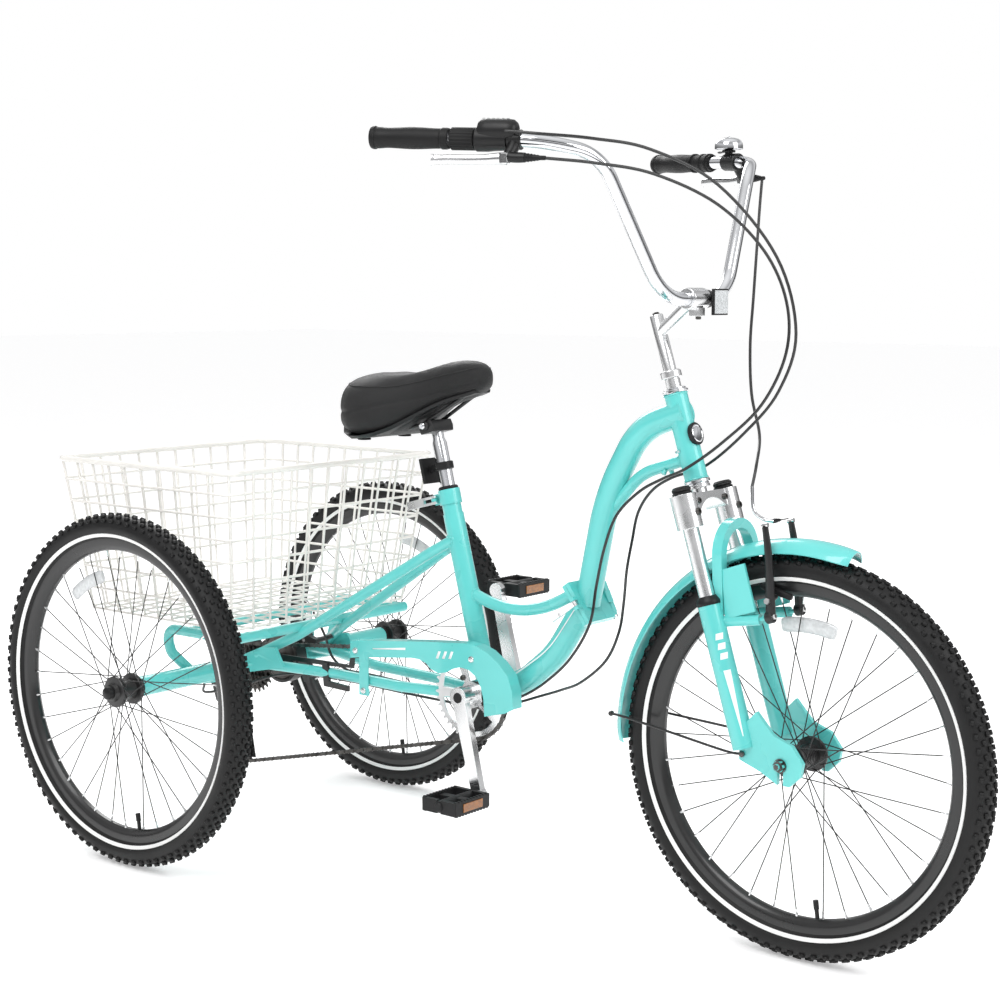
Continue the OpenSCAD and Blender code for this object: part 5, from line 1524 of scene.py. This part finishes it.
def make_seat_parts():
    rails, blocks, bumpers = [], [], []
    for s in (-1, 1):
        rails.append(tube(bent([mm(300, s * 34, 812), mm(316, s * 34, 803), mm(346, s * 24, 808), mm(436, s * 22, 830), mm(530, s * 14, 886)],
                               [0.02, 0.03, 0.06], 6), 0.0035, 16))
        spring = lathe(scaled([(0, 0), (12, 0), (13, 1.5), (11, 4), (13, 6), (11, 8.5), (13, 11), (12, 14), (0, 14)]),
                       mm(322, s * 56, 798.4), (0, 0, 1), 28)
        bumpers.append(spring)
        rails.append(tube([mm(322, s * 30, 806), mm(322, s * 57, 806)], 0.004, 12))
    put("saddle_rail_wires", rails, black_metal(), "seat", ["saddle_rails"])
    put("saddle_bumpers", bumpers, grip_rubber(), "seat", ["saddle_rails"])
    hub = on_seat(SEAT_LEN + 114)
    across = Vector((0, 1, 0))
    lean = SEAT.cross(across)
    clamp = [slab([(-0.015, -0.010), (0.015, -0.010), (0.017, 0), (0.014, 0.012), (-0.014, 0.012), (-0.017, 0)], 0.058,
                  hub + SEAT * 0.004, lean, SEAT),
             lathe(scaled([(0, -33), (7, -33), (8, -31), (8, 31), (7, 33), (0, 33)]), hub + SEAT * 0.008, across, 24)]
    put("saddle_clamp", clamp, black_metal(), "seat", ["saddle_rails"], bevel=0.0012)
    nuts = [lathe(scaled([(0, 33), (6.6, 33), (6.6, 39), (5, 40), (3.4, 40), (3.4, 43), (0, 43)]), hub + SEAT * 0.008, (0, s, 0), 6)
            for s in (-1, 1)]
    put("saddle_clamp_nuts", nuts, chrome(), "seat")
    post = [lathe(scaled([(0, 150), (13.55, 150), (13.55, SEAT_LEN + 88), (11, SEAT_LEN + 96), (11, SEAT_LEN + 123), (0, SEAT_LEN + 123)]),
                  on_seat(0), SEAT, 48)]
    put("seat_post_tube", post, chrome(), "seat", ["seatpost"])
    at = on_seat(SEAT_LEN + 45)
    back = SEAT.cross(Vector((0, 1, 0))).normalized()
    if back.x > 0:
        back = -back
    holder = [lathe(scaled([(13.6, -7), (17, -7), (18, -6), (18, 6), (17, 7), (13.6, 7)]), at, SEAT, 36, ring=True),
              slab([(0.014, -0.006), (0.034, -0.006), (0.034, 0.006), (0.014, 0.006)], 0.011, at, back, Vector((0, 1, 0)).cross(back)),
              slab([(-0.0235, -0.0255), (0.0235, -0.0255), (0.0235, 0.0215), (-0.0235, 0.0215)], 0.006, at + back * 0.0345,
                   (0, 1, 0), SEAT)]
    put("post_reflector_case", holder, plastic(), "seat", ["seatpost"], bevel=0.0012)
    put("post_reflector_lens", [slab([(-0.021, -0.0235), (0.021, -0.0235), (0.021, 0.0195), (-0.021, 0.0195)], 0.0024,
                                     at + back * 0.0384, (0, 1, 0), SEAT)], red_lens(), "seat", bevel=0.0008)
    softened("seat_qr", alloy(), bevel=0.0012)
    ring = lathe(scaled([(13.7, 0), (17.8, 0), (18.4, 0.8), (18.4, 4), (16, 6), (13.7, 6)]), on_seat(SEAT_LEN + 1.4), SEAT, 40, ring=True)
    put("seat_tube_gasket", [ring], plastic(), "rear_frame")


# ---------------------------------------------------------------- cables

BRAKE_ROUTE = [(984, -244, 1270), (1034, -160, 1256), (1094, -72, 1212), (1146, -14, 1140), (1178, 4, 1060),
               (1184, -4, 980), (1148, -14, 898), (1082, -24, 834), (1016, -28, 788), (961, -15, 766),
               (918, -20, 742), (880, -32, 700), (856, -34, 640), (842, -36, 575), (836, -46, 510), (796, -46, 446),
               (735, -30, 396), (676, -17, 360), (622, -16, 338), (560, -14, 320), (480, 6, 324), (400, 26, 326),
               (250, 34, 330), (180, 40, 330), (140, 42, 350), (112, 52, 384), (86, 60, 410), (68, 63, 428)]
SHIFT_ROUTE = [(930, -318, 1312), (988, -258, 1306), (1040, -178, 1292), (1104, -84, 1240), (1160, 2, 1130),
               (1178, 36, 1010), (1146, 40, 916), (1086, 36, 846), (1016, 30, 788), (961, 15, 766), (916, 20, 740),
               (884, 26, 700), (876, 20, 650), (874, 8, 600), (884, -14, 548), (886, -30, 500), (862, -34, 448),
               (800, -20, 400), (735, 8, 372), (682, 17, 352), (622, 14, 330), (560, 4, 314), (480, -22, 322),
               (400, -32, 326), (250, -36, 330), (120, -66, 330), (30, -108, 300), (-60, -112, 276), (-96, -84, 284)]


def cable_part(name, path, node, body=None):
    """A stretch of cable that rides on one body, or, given no body, stays fixed where it is with its transform baked
    in.
    """
    piece = build(name, [tube(path, sizes().cable / 2, 16)])
    piece.data.materials.append(cable_skin())
    if body:
        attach(piece, body)
    else:
        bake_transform(piece)
    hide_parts(node)


def make_cables():
    for name, first, route in (("brake", at_grip(286, 22, -28, -1), BRAKE_ROUTE),
                               ("shift", at_grip(223, 18, 12, -1), SHIFT_ROUTE)):
        node = {"brake": "rear_brake_cable", "shift": "shift_cable"}[name]
        points = [first] + [mm(*p) for p in route]
        per = 8
        path = curve_through(points, per)
        keys = [(round((p.x + WHEELBASE / 2000) * 1000, 1), round(p.z * 1000, 1)) for p in points]
        head = next(i for i, k in enumerate(keys) if k == (1016.0, 788.0)) * per
        fold_a = next(i for i, k in enumerate(keys) if abs(k[1] - 700.0) < 1) * per
        fold_b = next(i for i, k in enumerate(keys) if abs(k[0] - 735.0) < 1) * per
        cable_part(name + "_cable_bar", path[:head + 1], node)
        cable_part(name + "_cable_front", path[head:fold_a + 1], node, "front_frame")
        cable_part(name + "_cable_fold", path[fold_a:fold_b + 1], node)
        cable_part(name + "_cable_rear", path[fold_b:], node, "rear_frame")
    front = curve_through([at_grip(284, 22, -28, 1), mm(947, 300, 1225), mm(962, 268, 1150), mm(985, 222, 1065),
                           mm(1012, 170, 985), mm(1050, 115, 905), mm(1100, 60, 842),
                           mm(1134, -4, 800), mm(1140, -26, 766)], 8)
    cable_part("front_brake_cable_run", front, "front_brake_cable")
    noodle = curve_through([mm(1140, -26, 767), mm(1146, -30, 730), mm(1162, -26, 716), mm(1171, -12, 712)], 8)
    put("brake_noodle", [tube(noodle, 0.0030, 16)], chrome(), "fork_lower", ["front_brake_cable"])
    put("brake_link_wire", [tube([mm(1171, -11, 712), mm(1173, 33, 712)], 0.0009, 8)], dark_steel(), "fork_lower")
    put("brake_link_boot", [lathe(scaled([(0, 0), (3.8, 0), (3.4, 3), (4, 5), (3.2, 8), (3.6, 10), (2.6, 14), (2.8, 16), (1.6, 22), (0, 22.4)]),
                                  mm(1171, -11, 712), (0.05, 1, 0), 18)], grip_rubber(), "fork_lower")


# ---------------------------------------------------------------- stage

CAMERA_AT = Vector((2.06606, -2.57039, 1.08403))
YAW, PITCH, ROLL = 2.243835, -0.117736, 0.0047574


def make_stage():
    floor = build("floor", [([(-30, -30, 0), (30, -30, 0), (30, 30, 0), (-30, 30, 0)], [(0, 1, 2, 3)])])
    floor.data.materials.append(finish("studio floor", colours().floor, 0.75, grain=(60, 0.0002), shade=0.01, rough_spread=0.03, emit=0.36))
    for v in floor.data.vertices:
        v.co.z = -0.0012
    world = bpy.data.worlds.new("soft studio")
    world.use_nodes = True
    tree = world.node_tree
    sky = tree.nodes["Background"]
    way = node_in(tree, "ShaderNodeTexCoord")
    split = node_in(tree, "ShaderNodeSeparateXYZ")
    bands = node_in(tree, "ShaderNodeValToRGB")
    stops = bands.color_ramp.elements
    stops[0].position, stops[0].color = 0.0, (0.60, 0.61, 0.62, 1)
    stops[1].position, stops[1].color = 1.0, (1.08, 1.08, 1.08, 1)
    for at, shade in ((0.42, 0.44), (0.50, 0.10), (0.56, 0.17), (0.66, 0.8), (0.80, 0.44)):
        stop = stops.new(at)
        stop.color = (shade, shade, shade * 1.01, 1)
    half = node_in(tree, "ShaderNodeMapRange")
    half.inputs["From Min"].default_value = -1
    seen = node_in(tree, "ShaderNodeLightPath")
    pick = node_in(tree, "ShaderNodeMix", data_type="RGBA")
    pick.inputs["B"].default_value = (1.0, 1.0, 1.0, 1)
    tree.links.new(way.outputs["Generated"], split.inputs["Vector"])
    tree.links.new(split.outputs["Z"], half.inputs["Value"])
    tree.links.new(half.outputs["Result"], bands.inputs["Fac"])
    tree.links.new(bands.outputs["Color"], pick.inputs["A"])
    tree.links.new(seen.outputs["Is Camera Ray"], pick.inputs["Factor"])
    tree.links.new(pick.outputs["Result"], sky.inputs["Color"])
    sky.inputs["Strength"].default_value = 1.0
    bpy.context.scene.world = world
    bpy.context.scene.view_settings.view_transform = "Standard"
    for name, place, aim, size, power in (("key", (0.6, -3.4, 4.4), (0, 0, 0.4), 3.0, 140),
                                          ("fill", (4.2, 0.4, 3.0), (0.2, 0, 0.6), 2.6, 80),
                                          ("rim", (-3.6, 2.6, 3.8), (0, 0, 0.6), 2.6, 110)):
        lamp = bpy.data.lights.new(name, "AREA")
        lamp.size = size
        lamp.energy = power
        light = bpy.data.objects.new(name, lamp)
        light.location = place
        light.rotation_mode = "QUATERNION"
        light.rotation_quaternion = (Vector(aim) - Vector(place)).to_track_quat("-Z", "Y")
        bpy.context.scene.collection.objects.link(light)
    ahead = Vector((math.cos(YAW) * math.cos(PITCH), math.sin(YAW) * math.cos(PITCH), math.sin(PITCH)))
    right = ahead.cross(Vector((0, 0, 1))).normalized()
    up = right.cross(ahead)
    turned = right * math.cos(ROLL) + up * math.sin(ROLL)
    raised = up * math.cos(ROLL) - right * math.sin(ROLL)
    lens = bpy.data.cameras.new("view")
    lens.lens = 66.813
    lens.sensor_width = 36
    lens.shift_x, lens.shift_y = -0.0126, 0.00484
    lens.clip_start, lens.clip_end = 0.05, 200
    camera = bpy.data.objects.new("view", lens)
    camera.matrix_world = Matrix.Translation(CAMERA_AT) @ Matrix((turned, raised, -ahead)).transposed().to_4x4()
    bpy.context.scene.collection.objects.link(camera)
    bpy.context.scene.camera = camera


# ---------------------------------------------------------------- operators

class TRIKE_OT_stage(bpy.types.Operator):
    """Make the floor, the lights and the camera"""
    bl_idname = "trike.stage"
    bl_label = "Stage"

    def execute(self, context):
        make_stage()
        return {"FINISHED"}


class TRIKE_OT_wheels(bpy.types.Operator):
    """Make the tyres, rims, spokes and hubs"""
    bl_idname = "trike.wheels"
    bl_label = "Wheels"

    def execute(self, context):
        make_wheels()
        return {"FINISHED"}


class TRIKE_OT_frame(bpy.types.Operator):
    """Dress the frame, its welds and its hinge"""
    bl_idname = "trike.frame"
    bl_label = "Frame"

    def execute(self, context):
        make_frame()
        make_head()
        make_hinge_extras()
        return {"FINISHED"}


class TRIKE_OT_bar(bpy.types.Operator):
    """Make the bar, the stem and the front reflector"""
    bl_idname = "trike.bar"
    bl_label = "Handlebar"

    def execute(self, context):
        make_bar()
        return {"FINISHED"}


class TRIKE_OT_grips(bpy.types.Operator):
    """Make the grips and the twist shifter's sleeve"""
    bl_idname = "trike.grips"
    bl_label = "Grips"

    def execute(self, context):
        make_grips()
        return {"FINISHED"}


class TRIKE_OT_controls(bpy.types.Operator):
    """Make the levers, their mounts and the bell"""
    bl_idname = "trike.controls"
    bl_label = "Controls"

    def execute(self, context):
        make_controls()
        return {"FINISHED"}


class TRIKE_OT_fork(bpy.types.Operator):
    """Make the suspension fork"""
    bl_idname = "trike.fork"
    bl_label = "Fork"

    def execute(self, context):
        make_fork()
        return {"FINISHED"}


class TRIKE_OT_fender(bpy.types.Operator):
    """Make the front fender and its stays"""
    bl_idname = "trike.fender"
    bl_label = "Fender"

    def execute(self, context):
        make_fender()
        return {"FINISHED"}


class TRIKE_OT_vbrakes(bpy.types.Operator):
    """Make the front rim brake"""
    bl_idname = "trike.vbrakes"
    bl_label = "Rim Brakes"

    def execute(self, context):
        make_vbrakes()
        return {"FINISHED"}


class TRIKE_OT_cranks(bpy.types.Operator):
    """Dress the cranks and the chainring"""
    bl_idname = "trike.cranks"
    bl_label = "Cranks"

    def execute(self, context):
        make_cranks()
        return {"FINISHED"}


class TRIKE_OT_pedals(bpy.types.Operator):
    """Make the pedals"""
    bl_idname = "trike.pedals"
    bl_label = "Pedals"

    def execute(self, context):
        make_pedals()
        return {"FINISHED"}


class TRIKE_OT_chain(bpy.types.Operator):
    """Make the chain's links"""
    bl_idname = "trike.chain"
    bl_label = "Chain"

    def execute(self, context):
        make_chain()
        return {"FINISHED"}


class TRIKE_OT_rear_drive(bpy.types.Operator):
    """Dress the sprockets, derailleur, drum brake and guard"""
    bl_idname = "trike.rear_drive"
    bl_label = "Rear Drive"

    def execute(self, context):
        make_rear_drive()
        return {"FINISHED"}


class TRIKE_OT_basket(bpy.types.Operator):
    """Make the wire basket"""
    bl_idname = "trike.basket"
    bl_label = "Basket"

    def execute(self, context):
        make_basket()
        return {"FINISHED"}


class TRIKE_OT_saddle(bpy.types.Operator):
    """Make the padded saddle"""
    bl_idname = "trike.saddle"
    bl_label = "Saddle"

    def execute(self, context):
        make_saddle()
        return {"FINISHED"}


class TRIKE_OT_seat_parts(bpy.types.Operator):
    """Make the seat post, rails and clamp"""
    bl_idname = "trike.seat_parts"
    bl_label = "Seat Parts"

    def execute(self, context):
        make_seat_parts()
        return {"FINISHED"}


class TRIKE_OT_cables(bpy.types.Operator):
    """Make the three cables"""
    bl_idname = "trike.cables"
    bl_label = "Cables"

    def execute(self, context):
        make_cables()
        return {"FINISHED"}


STEPS = [
    TRIKE_OT_stage,
    TRIKE_OT_wheels,
    TRIKE_OT_frame,
    TRIKE_OT_bar,
    TRIKE_OT_grips,
    TRIKE_OT_controls,
    TRIKE_OT_fork,
    TRIKE_OT_fender,
    TRIKE_OT_vbrakes,
    TRIKE_OT_cranks,
    TRIKE_OT_pedals,
    TRIKE_OT_chain,
    TRIKE_OT_rear_drive,
    TRIKE_OT_basket,
    TRIKE_OT_saddle,
    TRIKE_OT_seat_parts,
    TRIKE_OT_cables,
]


class TRIKE_PT_panel(bpy.types.Panel):
    """Lists the steps that dress the tricycle."""
    bl_label = "Folding Tricycle"
    bl_idname = "TRIKE_PT_panel"
    bl_space_type = "VIEW_3D"
    bl_region_type = "UI"
    bl_category = "Tricycle"

    def draw(self, context):
        for group in (context.scene.trike_sizes, context.scene.trike_colours):
            for name in group.__annotations__:
                self.layout.prop(group, name)
        for step in STEPS:
            self.layout.operator(step.bl_idname)


CLASSES = [TrikeColours, TrikeSizes, *STEPS, TRIKE_PT_panel]


def register():
    for item in CLASSES:
        bpy.utils.register_class(item)
    bpy.types.Scene.trike_colours = bpy.props.PointerProperty(type=TrikeColours)
    bpy.types.Scene.trike_sizes = bpy.props.PointerProperty(type=TrikeSizes)


def unregister():
    del bpy.types.Scene.trike_sizes
    del bpy.types.Scene.trike_colours
    for item in reversed(CLASSES):
        bpy.utils.unregister_class(item)


def main():
    register()
    for step in STEPS:
        getattr(bpy.ops.trike, step.bl_idname.split(".")[1])()


if __name__ == "__main__":
    main()
